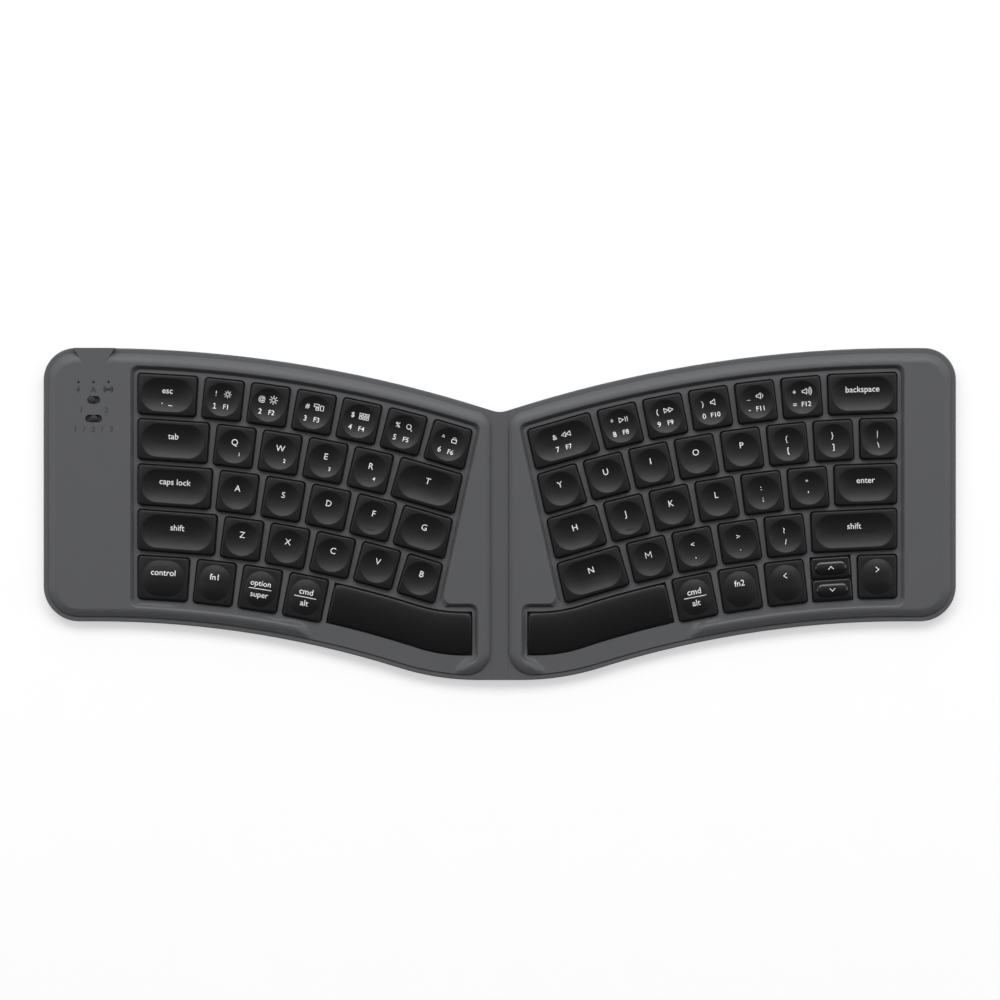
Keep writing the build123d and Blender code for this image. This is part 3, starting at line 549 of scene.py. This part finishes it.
# A block on four corners, with rounded corners in plan and a rounded top edge, hollow from below
def capBlock(name, corners, top):
    block = plainBlock(name, corners, cap["base"], top)
    roundCorners(block, cap["corner"])
    selectParts(block, "EDGE", edgeTest(block, lambda a, b: near(a.z, top) and near(b.z, top)))
    bpy.ops.mesh.bevel(offset=cap["edge"], segments=3, profile=0.5)
    mode("OBJECT")
    selectParts(block, "FACE", lambda face: face.normal.z < -0.9)
    bpy.ops.mesh.inset(thickness=cap["wall"], depth=0)
    bpy.ops.transform.translate(value=(0, 0, cap["ceiling"] - cap["base"]))
    mode("OBJECT")
    return block


# How far a point is from the straight run in the middle of a rounded field
def runDistance(x, y, run):
    return math.hypot(max(0, abs(x) - run[0] / 2), max(0, abs(y) - run[1] / 2))


# A solid whose one side is the curved field, and whose other side is level at the reach
def roundField(name, radius, run, profile, rings, reach):
    bpy.ops.mesh.primitive_circle_add(vertices=fieldSides, radius=radius, fill_type="NGON")
    field = named(bpy.context.object, name)
    rim = profile(radius)
    for point in field.data.vertices:
        point.co.x += math.copysign(run[0] / 2, point.co.x) if abs(point.co.x) > 1e-7 else 0
        point.co.y += math.copysign(run[1] / 2, point.co.y) if abs(point.co.y) > 1e-7 else 0
        point.co.z = rim
    pick(field)
    mode("EDIT")
    bpy.ops.mesh.select_mode(type="FACE")
    bpy.ops.mesh.select_all(action="SELECT")
    level = rim
    for i in range(1, rings):
        left = radius * (1 - i / rings)
        bpy.ops.mesh.inset(thickness=radius / rings, depth=0)
        bpy.ops.transform.translate(value=(0, 0, profile(left) - level))
        level = profile(left)
    mode("OBJECT")
    selectParts(field, "EDGE", edgeTest(field, lambda a, b: near(a.z, rim, 1e-8) and near(b.z, rim, 1e-8)))
    bpy.ops.mesh.extrude_region_move(TRANSFORM_OT_translate={"value": (0, 0, reach - rim)})
    bpy.ops.mesh.edge_face_add()
    mode("OBJECT")
    recalc(field)
    return field


def dishProfile(radius):
    return lambda reach: -dish["depth"] * (1 - (reach / radius) ** 2)


def domeProfile(radius):
    return lambda reach: dome["depth"] * (1 - (reach / radius) ** 2)


def pillProfile(radius):
    return lambda reach: dome["depth"] * math.sqrt(max(0, 1 - (reach / radius) ** 2))


fields = {}


# One finished cap with its field, and the height of its surface anywhere
class Cap:
    def __init__(self, name, corners, kind):
        plan = Plan(corners)
        self.name, self.kind, self.plan = name, kind, plan
        margin = dish["margin"] if kind == "dish" else dome["margin"]
        self.top = cap["top"] if kind == "dish" else cap["plate"]
        if kind == "dish":
            self.radius = plan.depth / 2 - margin
            self.run = (max(0, plan.width - 2 * margin - 2 * self.radius), 0)
            self.profile = dishProfile(self.radius)
        elif kind == "dome":
            wide = plan.width > dome["wide cap"]
            self.radius = dome["wide radius"] if wide else plan.width / 2 - margin
            self.run = (max(0, plan.width - 2 * margin - 2 * self.radius),
                        plan.depth - 2 * margin - 2 * self.radius)
            self.profile = domeProfile(self.radius)
        else:
            self.radius = pill["radius"]
            self.run = (pill["run"], 0)
            self.profile = pillProfile(self.radius)
        self.piece = self.build()

    def build(self):
        block = capBlock(self.name, widened(self.plan.corners, -cap["less"]), self.top)
        key = (self.kind, round(self.radius / mm, 2), round(self.run[0] / mm, 1), round(self.run[1] / mm, 1))
        reach = dish["above"] if self.kind == "dish" else -dome["root"]
        if key not in fields:
            rings = pill["rings"] if self.kind == "pill" else dish["rings"]
            fields[key] = roundField("field", self.radius, self.run, self.profile, rings, reach)
        place = Matrix.Translation((0, 0, self.top)) @ self.plan.frame
        tool = duplicate(fields[key], place, "tool")
        cut(block, tool, "DIFFERENCE" if self.kind == "dish" else "UNION")
        smooth(block, cap["smooth"])
        inverse = self.plan.frame.inverted()
        for edge in block.data.edges:
            ends = [inverse @ block.data.vertices[i].co for i in edge.vertices]
            if all(near(p.z, self.top, 0.002 * mm)
                   and near(runDistance(p.x, p.y, self.run), self.radius, 0.03 * mm) for p in ends):
                edge.use_edge_sharp = True
        return block

    def height(self, x, y):
        reach = runDistance(x, y, self.run)
        return self.top + (self.profile(reach) if reach < self.radius else 0)


# The caps that share a node, from left to right, and the punctuation caps row by row from the back
rowNames = {
    "keys_number_row_left": ["esc", "1", "2", "3", "4", "5", "6"],
    "keys_modifiers_left": ["control", "fn1", "option", "cmdLeft"],
    "keys_number_row_right": ["7", "8", "9", "0", "minus", "equals"],
    "keys_modifiers_right": ["cmdRight", "fn2"],
}
punctuation = {
    "rows": [["bracketOpen", "bracketClose", "backslash"], ["semicolon", "quote"],
             ["comma", "period", "slash"]],
    "arc centre": Vector((167.2 * mm, -462.95 * mm)), "arc radius": 494.2 * mm, "row pitch": 18.8 * mm,
}
caps = {}
capNodes = {}


def capNames(node, plans):
    if node in rowNames:
        return rowNames[node]
    if node != "keys_punctuation":
        return [node[4:]]
    left = [list(row) for row in punctuation["rows"]]
    names = []
    for plan in plans:
        reach = (Plan(plan).centre - punctuation["arc centre"]).length
        names.append(left[round((punctuation["arc radius"] - reach) / punctuation["row pitch"])].pop(0))
    return names


collars = {}
for node in sorted(nodes):
    if not node.startswith(("key_", "keys_")) or node.startswith(("key_plate", "key_space")):
        continue
    plans = capPlans(node)
    made = []
    for name, plan in zip(capNames(node, plans), plans):
        kind = "dish"
        if "modifiers" in node or name in ("arrow_left", "arrow_right"):
            kind = "dome"
        if name in ("arrow_up", "arrow_down"):
            kind = "pill"
        caps[name] = Cap("cap", plan, kind)
        capNodes[name] = node
        made.append(caps[name].piece)
        if kind != "pill":
            side = "left" if caps[name].plan.centre.x < 0 else "right"
            collars.setdefault(side, []).append(holeCollar(caps[name].plan.corners))
    piece = joined(made, "cap." + node)
    dress(piece, "glossKey" if "arrow_up" in node or "arrow_down" in node else "keycap", "keycap", node, node)
for field in fields.values():
    bpy.data.objects.remove(field)
for side, rings in collars.items():
    dress(joined(rings, "holeRims." + side), "case", "case", side + "_half")
print("caps made", len(caps))


# Space bars: one curved sheet between the back and the front edge of the CAD bar, with rounded rims
bar = {"back": 8.2 * mm, "crest": 8.38 * mm, "front": 6.5 * mm, "crest at": 0.22, "along": 40, "across": 18,
       "corner": 1.6 * mm, "rim": 0.7 * mm, "rim drop": 0.55 * mm, "ceiling": 5.92 * mm}


# How much lower than the sheet a point is, this far in from the rim
def rimDrop(inset):
    left = 1 - min(inset, bar["rim"]) / bar["rim"]
    return bar["rim drop"] * (1 - math.sqrt(max(0, 1 - left ** 2)))


# The height of the sheet, from the back edge at 0 to the front edge at 1
def barHeight(share):
    crest = bar["crest at"]
    if share < crest:
        return bar["crest"] - (bar["crest"] - bar["back"]) * ((crest - share) / crest) ** 2
    return bar["crest"] - (bar["crest"] - bar["front"]) * ((share - crest) / (1 - crest)) ** 1.9


# Shares of a length, with close steps at both rims for their rounding
def easedSteps(count, length):
    rim = [0, 0.06, 0.18, 0.38, 0.7]  # in mm
    inner = count - 2 * len(rim) + 2
    steps = [r * mm / length for r in rim]
    steps += [rim[-1] * mm / length + (1 - 2 * rim[-1] * mm / length) * i / inner for i in range(1, inner)]
    return steps + [1 - r * mm / length for r in reversed(rim)]


# Draws the square corners of the sheet in to quarter rounds, and says how far in from the rim a point is
def roundedCorner(u, v, length, depth):
    x, y = min(u, 1 - u) * length, min(v, 1 - v) * depth
    r = bar["corner"]
    if x >= r or y >= r:
        return u, v, min(x, y)
    a, b = 1 - x / r, 1 - y / r
    a, b = a * math.sqrt(1 - b * b / 2), b * math.sqrt(1 - a * a / 2)
    x, y = r * (1 - a) / length, r * (1 - b) / depth
    return x if u < 0.5 else 1 - x, y if v < 0.5 else 1 - y, r * (1 - math.hypot(a, b))


# The point at a share of the length of a run
def alongRun(points, share):
    lengths = [(b - a).length for a, b in zip(points, points[1:])]
    left = share * sum(lengths)
    for a, b, length in zip(points, points[1:], lengths):
        if left <= length:
            return a.lerp(b, left / length)
        left -= length
    return points[-1]


# The back and the front edge in plan of a CAD bar, from left to right
def barEdges(node):
    piece = copyNode(node, "barPlan")
    low = min(p.co.z for p in piece.data.vertices)
    points = piece.data.vertices
    after = {}
    for face in piece.data.polygons:
        if face.normal.z < -0.9:
            continue
        for i, j in face.edge_keys:
            if near(points[i].co.z, low) and near(points[j].co.z, low) and (
                    abs(face.normal.z) < 0.5):
                after.setdefault(i, set()).add(j)
                after.setdefault(j, set()).add(i)
    run, last = [min(after, key=lambda i: points[i].co.x)], None
    while True:
        onward = [j for j in after[run[-1]] if j != last]
        last = run[-1]
        if onward[0] == run[0] or len(run) > len(after):
            break
        run.append(onward[0])
    plan = [points[i].co.to_2d() for i in run]
    bpy.data.objects.remove(piece)

    def turnAt(i):
        one, other = plan[i] - plan[i - 1], plan[(i + 1) % len(plan)] - plan[i]
        return abs(one.angle(other))
    corners = sorted(sorted(range(len(plan)), key=turnAt)[-4:])  # where the outline turns most
    sides = []
    for a, b in zip(corners, corners[1:] + [corners[0] + len(plan)]):
        sides.append([plan[i % len(plan)] for i in range(a, b + 1)])
    long = sorted(sides, key=lambda side: -sum((b - a).length for a, b in zip(side, side[1:])))[:2]
    long = [side if side[0].x < side[-1].x else side[::-1] for side in long]
    return sorted(long, key=lambda side: -side[0].y)


for side in ("left", "right"):
    backEdge, frontEdge = barEdges("key_space_" + side)
    bpy.ops.mesh.primitive_grid_add(x_subdivisions=bar["along"], y_subdivisions=bar["across"], size=1)
    sheet = named(bpy.context.object, "cap.key_space_" + side)
    length = (backEdge[-1] - backEdge[0]).length
    depth = (backEdge[0] - frontEdge[0]).length
    alongSteps, acrossSteps = easedSteps(bar["along"], length), easedSteps(bar["across"], depth)
    for point in sheet.data.vertices:
        u = alongSteps[round((point.co.x + 0.5) * bar["along"])]
        v = acrossSteps[round((0.5 - point.co.y) * bar["across"])]
        u, v, inset = roundedCorner(u, v, length, depth)
        place = alongRun(backEdge, u).lerp(alongRun(frontEdge, u), v)
        point.co = (*place, barHeight(v) - rimDrop(inset))
    selectParts(sheet, "FACE", lambda face: True)
    bpy.ops.mesh.extrude_region_move(TRANSFORM_OT_translate={"value": (0, 0, 0)})
    mode("OBJECT")
    lip = {point.index for point in sheet.data.vertices if point.select}
    walls = {i for edge in sheet.data.edges if len(lip & set(edge.vertices)) == 1 for i in edge.vertices}
    for point in sheet.data.vertices:
        if point.index in lip:
            point.co.z = cap["base"] if point.index in walls else bar["ceiling"]
    recalc(sheet)
    smooth(sheet, 40)
    dress(sheet, "keycap", "keycap", "key_space_" + side, "key_space_" + side)
print("space bars made")


# Prints: text and line icons laid on the caps and the panel
ink = {"lift": 0.025 * mm, "stroke": 0.27 * mm, "overlap": 0.8, "cap height": 0.343}


def textShape(text, x, y, size, bold=0.01):
    bpy.ops.object.text_add()
    shape = bpy.context.object
    shape.data.body = text
    shape.data.size = size
    shape.data.align_x = "CENTER"
    shape.data.resolution_u = 3
    shape.data.offset = bold
    bpy.ops.object.convert(target="MESH")
    shape = bpy.context.object
    mode("EDIT")
    bpy.ops.mesh.select_all(action="SELECT")
    bpy.ops.mesh.remove_doubles(threshold=0.001)
    bpy.ops.mesh.subdivide(number_cuts=1)
    mode("OBJECT")
    shape.data.transform(Matrix.Scale(mm, 4) @ Matrix.Translation((x, y - ink["cap height"] * size, 0)))
    return shape


bpy.ops.mesh.primitive_plane_add(size=1)
strokeSeed = named(bpy.context.object, "strokeSeed")
pick(strokeSeed)
mode("EDIT")
bpy.ops.mesh.subdivide(number_cuts=1)
mode("OBJECT")


# Flat strokes along a run of points
def strokeShape(points, x, y, width=None):
    width = width or ink["stroke"]
    made = []
    for a, b in zip(points, points[1:]):
        start, end = Vector(a) * mm, Vector(b) * mm
        along = end - start
        place = (Matrix.Translation((*((start + end) / 2 + Vector((x, y)) * mm), 0))
                 @ Matrix.Rotation(math.atan2(along.y, along.x), 4, "Z")
                 @ Matrix.Diagonal((along.length + width * ink["overlap"], width, 1, 1)))
        made.append(duplicate(strokeSeed, place, "stroke"))
    return made


def arcRun(x, y, radius, start=0, end=360, steps=14):
    turns = [math.radians(start + (end - start) * i / steps) for i in range(steps + 1)]
    return [(x + radius * math.cos(t), y + radius * math.sin(t)) for t in turns]


def boxRun(x, y, width, height):
    return [(x, y), (x + width, y), (x + width, y + height), (x, y + height), (x, y)]


def triangleRun(x, width):
    return [(x, 0.95), (x + width, 0), (x, -0.95), (x, 0.95)]


def rays(inner, outer):
    turns = [math.radians(45 * i) for i in range(8)]
    return [[(reach * math.cos(t), reach * math.sin(t)) for reach in (inner, outer)] for t in turns]


speaker = [(-1.5, 0.4), (-0.8, 0.4), (0.3, 1.15), (0.3, -1.15), (-0.8, -0.4), (-1.5, -0.4), (-1.5, 0.4)]
icons = {
    "sunLow": [arcRun(0, 0, 0.72)] + rays(1.15, 1.5),
    "sunHigh": [arcRun(0, 0, 0.78)] + rays(1.2, 1.75),
    "windows": [boxRun(-2.1, 0.1, 2.0, 1.1), boxRun(-1.2, -1.2, 1.1, 0.9), boxRun(0.6, -1.1, 1.3, 1.9)],
    "grid": [boxRun(-2.0 + 1.45 * i, y, 0.95, 0.95) for i in range(3) for y in (0.2, -1.2)],
    "lens": [arcRun(-0.2, 0.25, 0.95), [(0.5, -0.45), (1.3, -1.3)]],
    "lock": [boxRun(-0.95, -1.2, 1.9, 1.4), arcRun(0, 0.4, 0.62, 0, 180, 8), [(0.62, 0.4), (0.62, 0.2)],
             [(-0.62, 0.4), (-0.62, 0.2)]],
    "rewind": [triangleRun(-0.1, -1.7), triangleRun(1.9, -1.7)],
    "play": [triangleRun(-1.8, 1.8), [(0.75, 0.95), (0.75, -0.95)], [(1.6, 0.95), (1.6, -0.95)]],
    "forward": [triangleRun(-1.9, 1.7), triangleRun(0.1, 1.7)],
    "speaker": [speaker],
    "speakerLow": [speaker, arcRun(0.3, 0, 0.9, -50, 50, 5)],
    "speakerHigh": [speaker, arcRun(0.3, 0, 0.8, -50, 50, 5), arcRun(0.3, 0, 1.45, -50, 50, 6),
                    arcRun(0.3, 0, 2.1, -50, 50, 7)],
    "line": [[(-4.5 + i, 0) for i in range(10)]],
    "left": [[(0.7, 1.1), (-0.7, 0), (0.7, -1.1)]],
    "right": [[(-0.7, 1.1), (0.7, 0), (-0.7, -1.1)]],
    "up": [[(-1.1, -0.6), (0, 0.6), (1.1, -0.6)]],
    "down": [[(-1.1, 0.6), (0, -0.6), (1.1, 0.6)]],
    "em": [[(-1.15, -1.2), (-1.15, 1.2), (0, -0.35), (1.15, 1.2), (1.15, -1.2)]],
    "one": [[(-0.55, 0.7), (0, 1.05), (0, -1.05)], [(-0.55, -1.05), (0.55, -1.05)]],
    "bolt": [[(0.35, 1.2), (-0.55, -0.1), (0.45, 0.1), (-0.35, -1.2)]],
    "waves": [arcRun(0, 0, 0.25, 0, 360, 6), arcRun(0, 0, 1.0, -45, 45, 5), arcRun(0, 0, 1.0, 135, 225, 5),
              arcRun(0, 0, 1.8, -45, 45, 6), arcRun(0, 0, 1.8, 135, 225, 6)],
}


def iconShapes(name, x, y, scale=1.0, width=None):
    made = []
    for run in icons[name]:
        made += strokeShape([(px * scale, py * scale) for px, py in run], x, y, width)
    return made


def markShapes(marks, width=None, bold=0.01):
    made = []
    for mark, x, y, size in marks:
        made += iconShapes(mark, x, y, size, width) if mark in icons else [textShape(mark, x, y, size, bold)]
    return made


numberRow = {
    "1": ("!", "sunLow", "1"), "2": ("@", "sunHigh", "2"), "3": ("#", "windows", "3"),
    "4": ("$", "grid", "4"), "5": ("%", "lens", "5"), "6": ("^", "lock", "6"), "7": ("&", "rewind", "7"),
    "8": ("*", "play", "8"), "9": ("(", "forward", "9"), "0": (")", "speaker", "0"),
    "minus": ("_", "speakerLow", "-"), "equals": ("+", "speakerHigh", "="),
}
pairs = {
    "bracketOpen": "{[", "bracketClose": "}]", "backslash": "|\\", "semicolon": ":;", "quote": "\"'",
    "comma": "<,", "period": ">.", "slash": "?/",
}
words = {
    "tab": "tab", "caps_lock": "caps lock", "shift_left": "shift", "shift_right": "shift",
    "control": "control", "fn1": "fn1", "fn2": "fn2", "backspace": "backspace", "enter": "enter",
}
channels = {"q": "1", "w": "2", "e": "3", "r": "4"}
arrows = {"arrow_left": "left", "arrow_right": "right", "arrow_up": "up", "arrow_down": "down"}


# What stands on a cap: text or icon, place in mm from the middle of the cap, and size
def marksOf(name):
    if name in numberRow:
        symbol, icon, digit = numberRow[name]
        number = list(numberRow).index(name) + 1
        figure = ("one", -3.1, -2.9, 1.0) if name == "1" else (digit, -3.1, -2.9, 3.1)
        return [(symbol, -3.0, 2.3, 3.0), (icon, 1.8, 2.3, 1.0), figure, ("F%d" % number, 1.6, -2.9, 2.8)]
    if name in pairs:
        return [(pairs[name][0], -0.4, 2.2, 3.1), (pairs[name][1], -0.1, -2.5, 3.1)]
    if name in words:
        return [(words[name], 0, 2.5 if name in ("control", "fn1", "fn2") else 1.9, 3.5)]
    if name == "esc":
        return [("esc", 0, 1.9, 3.5), ("`", -1.9, -4.3, 3.1), ("~", 1.5, -4.1, 3.1)]
    if name == "option":
        return [("option", 0, 2.5, 3.3), ("line", 0, 0.1, 1.0), ("super", 0, -2.2, 3.3)]
    if name in ("cmdLeft", "cmdRight"):
        return [("cmd", 0, 2.4, 3.5), ("line", 0, 0.1, 1.0), ("alt", 0, -2.3, 3.5)]
    if name in arrows:
        return [(arrows[name], 0, 0 if "up" in name or "down" in name else 3.0, 0.9)]
    marks = [("em", -0.1, 1.8, 1.0) if name == "m" else (name.upper(), -0.1, 1.8, 3.6)]
    if name in channels:
        marks.append((channels[name], 2.3, -3.1, 2.2))
    return marks


printed = {}
for name, made in caps.items():
    shapes = markShapes(marksOf(name))
    for shape in shapes:
        for point in shape.data.vertices:
            point.co.z = made.height(point.co.x, point.co.y) + ink["lift"]
        shape.data.transform(made.plan.frame)
    printed.setdefault(capNodes[name], []).extend(shapes)
for node, shapes in printed.items():
    piece = joined(shapes, "print." + node)
    dress(piece, "print", "keycap", node)
print("cap prints made", len(printed))

# The small bar that marks the home keys
ridge = {"size": (3.4 * mm, 0.5 * mm, 0.36 * mm), "edge": 0.14 * mm, "y": -4.9 * mm, "lift": 0.02 * mm,
         "tilt": -0.2}
for name in ("f", "j"):
    made = caps[name]
    bpy.ops.mesh.primitive_cube_add(size=1)
    homeBar = named(bpy.context.object, "homeBar." + name)
    homeBar.data.transform(Matrix.Translation((0, ridge["y"], made.height(0, ridge["y"]) + ridge["lift"]))
                           @ Matrix.Rotation(ridge["tilt"], 4, "X") @ Matrix.Diagonal((*ridge["size"], 1)))
    selectParts(homeBar, "EDGE", lambda edge: True)
    bpy.ops.mesh.bevel(offset=ridge["edge"], segments=3)
    mode("OBJECT")
    homeBar.data.transform(made.plan.frame)
    smooth(homeBar, 60)
    dress(homeBar, "keycap", "keycap", capNodes[name])
print("home bars made")

# The prints on the left panel
panelMarks = [
    ("bolt", -174.2, 51.5, 1.0), ("A", -168.0, 51.5, 3.3), ("waves", -161.8, 51.5, 1.0),
    ("1", -173.0, 43.1, 3.2), ("2", -162.6, 43.1, 3.2), ("1", -175.4, 35.0, 3.2), ("/", -171.8, 35.0, 3.2),
    ("2", -168.0, 35.0, 3.2), ("/", -164.3, 35.0, 3.2), ("3", -160.5, 35.0, 3.2),
]
panelInk = {"lift": 0.012 * mm, "stroke": 0.4 * mm, "bold": 0.07}
panelPrint = joined(markShapes(panelMarks, panelInk["stroke"], panelInk["bold"]), "print.panel")
panelPrint.data.transform(Matrix.Translation((0, 0, deckTop + panelInk["lift"])))
dress(panelPrint, "darkPrint", "case", "left_half")
bpy.data.objects.remove(strokeSeed)
print("panel prints made")


# The knobs of the two slide switches, with ribs across the grip
grip = {"top": 7.5 * mm, "edge": 0.25 * mm, "rib": (0.24 * mm, 1.9 * mm, 0.3 * mm), "rib edge": 0.07 * mm,
        "rib pitch": 0.5 * mm, "rib middle": 7.54 * mm}


def knobRule(a, b, one, other):
    return 1.0 if near(a.z, b.z) and near(a.z, grip["top"]) else 0.0


for name, y in (("os_slider", 47.1 * mm), ("link_slider", 39.4 * mm)):
    knob = copyNode(name, "knob." + name)
    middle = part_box(name)
    x = (middle[0][0] + middle[1][0]) / 2
    roundEdges(knob, grip["edge"], knobRule)
    ribs = []
    for i in (-1.5, -0.5, 0.5, 1.5):
        bpy.ops.mesh.primitive_cube_add(size=1)
        rib = bpy.context.object
        rib.data.transform(Matrix.Translation((x + i * grip["rib pitch"], y, grip["rib middle"]))
                           @ Matrix.Diagonal((*grip["rib"], 1)))
        selectParts(rib, "EDGE", lambda edge: True)
        bpy.ops.mesh.bevel(offset=grip["rib edge"], segments=2)
        mode("OBJECT")
        ribs.append(rib)
    knob = joined([knob] + ribs, "knob." + name)
    smooth(knob, 30)
    dress(knob, "knob", "knob", name, name)
print("knobs made")


# Rubber pads, with the rounded edge of a moulded pad
pad = {"edge": 0.4 * mm}


def padRule(a, b, one, other):
    return 1.0 if near(a.z, 0) and near(b.z, 0) else 0.0


for side in ("left", "right"):
    pads = copyNode("rubber_feet_" + side, "pads" + side.title())
    roundEdges(pads, pad["edge"], padRule)
    smooth(pads, 30)
    dress(pads, "foot_rubber", "foot_rubber", side + "_half", "rubber_feet_" + side)
print("pads made")

# The strip
strip = copyNode("hinge_strip", "softStrip")
smooth(strip)
dress(strip, "strip", "strip", "strip", "hinge_strip")

# Soft skin under each crease
crease = {"x": 3.65 * mm, "half": 1.3 * mm, "low": 3.95 * mm, "high": 4.85 * mm, "front": -68.4 * mm,
          "back": 42.6 * mm, "steps": 12, "blend": (4.7 * mm, 2.6 * mm)}
for side, sign in (("left", -1), ("right", 1)):
    bpy.ops.mesh.primitive_grid_add(x_subdivisions=crease["steps"], y_subdivisions=1, size=1)
    skin = named(bpy.context.object, "creaseSkin." + side)
    middle = (sign * crease["x"], (crease["front"] + crease["back"]) / 2, crease["high"])
    size = (2 * crease["half"], crease["back"] - crease["front"], 1, 1)
    skin.data.transform(Matrix.Translation(middle) @ Matrix.Diagonal(size))
    selectParts(skin, "FACE", lambda face: True)
    bpy.ops.mesh.extrude_region_move(TRANSFORM_OT_translate={"value": (0, 0, crease["low"] - crease["high"])})
    mode("OBJECT")
    recalc(skin)
    smooth(skin, 40)
    dress(skin, "strip", "strip", None)
    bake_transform(skin)
print("strip and creases made")

# The pieces that keep their CAD form; the key plates and membranes get near-black materials, which are
# painted shade for the gaps between the caps
kept = {
    "key_plate_left": "steel", "key_plate_right": "steel", "membrane_left": "dome_rubber",
    "membrane_right": "dome_rubber", "main_board": "circuit_board", "usb_port": "plated_steel",
    "battery": "foil_wrap", "light_pipe": "clear_plastic",
}
for node, material in kept.items():
    nodes[node].data.materials.clear()
    nodes[node].data.materials.append(materials[material])
print("inner pieces dressed")


# Floor, lights and camera
def floorPaper():
    material = bpy.data.materials.new("floorPaper")
    material.use_nodes = True
    tree = material.node_tree
    shader = tree.nodes["Principled BSDF"]
    place = addNode(tree, "ShaderNodeTexCoord")
    grain = addNode(tree, "ShaderNodeTexNoise", {"Scale": 60.0, "Detail": 3.0},
                    Vector=place.outputs["Object"])
    tone = addNode(tree, "ShaderNodeMapRange", {"To Min": 0.98, "To Max": 1.0}, Value=grain.outputs["Fac"])
    tree.links.new(tone.outputs[0], shader.inputs["Base Color"])
    shader.inputs["Roughness"].default_value = 0.9
    shader.inputs["Specular IOR Level"].default_value = 0.1
    path = addNode(tree, "ShaderNodeLightPath")
    seen = mathNode(tree, "MULTIPLY", path.outputs["Is Camera Ray"], 0.5)
    white = addNode(tree, "ShaderNodeEmission", {"Strength": 1.0})
    side = addNode(tree, "ShaderNodeNewGeometry")
    clear = addNode(tree, "ShaderNodeBsdfTransparent")
    front = addNode(tree, "ShaderNodeMixShader", Fac=seen)
    tree.links.new(shader.outputs[0], front.inputs[1])
    tree.links.new(white.outputs[0], front.inputs[2])
    both = addNode(tree, "ShaderNodeMixShader", Fac=side.outputs["Backfacing"])
    tree.links.new(front.outputs[0], both.inputs[1])
    tree.links.new(clear.outputs[0], both.inputs[2])
    tree.links.new(both.outputs[0], tree.nodes["Material Output"].inputs["Surface"])
    return material


bpy.ops.mesh.primitive_plane_add(size=6)
floor = named(bpy.context.object, "floor")
floor.data.materials.append(floorPaper())


def softLight(name, place, size, power):
    bpy.ops.object.light_add(type="AREA", location=place)
    light = bpy.context.object
    light.name = name
    light.data.shape = "RECTANGLE"
    light.data.size, light.data.size_y = size
    light.data.energy = power
    light.rotation_euler = (-Vector(place)).to_track_quat("-Z", "Y").to_euler()
    light.visible_camera = False


# Place and size in metres, and power in watts
lights = {
    "backLight": ((0, 1.6, 1.9), (3.2, 1.1), 55),
    "leftLight": ((-2.2, 0.2, 1.4), (1.0, 1.8), 11),
    "rightLight": ((2.2, 0.2, 1.4), (1.0, 1.8), 11),
}
for name, values in lights.items():
    softLight(name, *values)

# The sky is brighter behind the keyboard than before it, and white to the camera
skyLight = {"From Min": -0.25, "From Max": 0.6, "To Min": 0.08, "To Max": 0.74}
world = bpy.data.worlds.new("studio")
bpy.context.scene.world = world
world.use_nodes = True
sky = world.node_tree
background = sky.nodes["Background"]
path = addNode(sky, "ShaderNodeLightPath")
direction = addNode(sky, "ShaderNodeTexCoord")
parts = addNode(sky, "ShaderNodeSeparateXYZ", Vector=direction.outputs["Generated"])
fall = addNode(sky, "ShaderNodeMapRange", skyLight, Value=parts.outputs["Y"])
white = addNode(sky, "ShaderNodeMapRange", {"To Max": 1.0}, Value=path.outputs["Is Camera Ray"],
                To_Min=fall.outputs[0])
background.inputs["Color"].default_value = (1, 1, 1, 1)
sky.links.new(white.outputs[0], background.inputs["Strength"])

# The camera looks straight down, as in the photograph
lookDown = {"place": (0.1 * mm, 5.8 * mm, 1.73), "lens": 150, "sensor": 36}
bpy.ops.object.camera_add(location=lookDown["place"], rotation=(0, 0, 0))
camera = bpy.context.object
camera.data.lens = lookDown["lens"]
camera.data.sensor_width = lookDown["sensor"]
bpy.context.scene.camera = camera
bpy.context.scene.view_settings.view_transform = "Standard"
print("studio made")
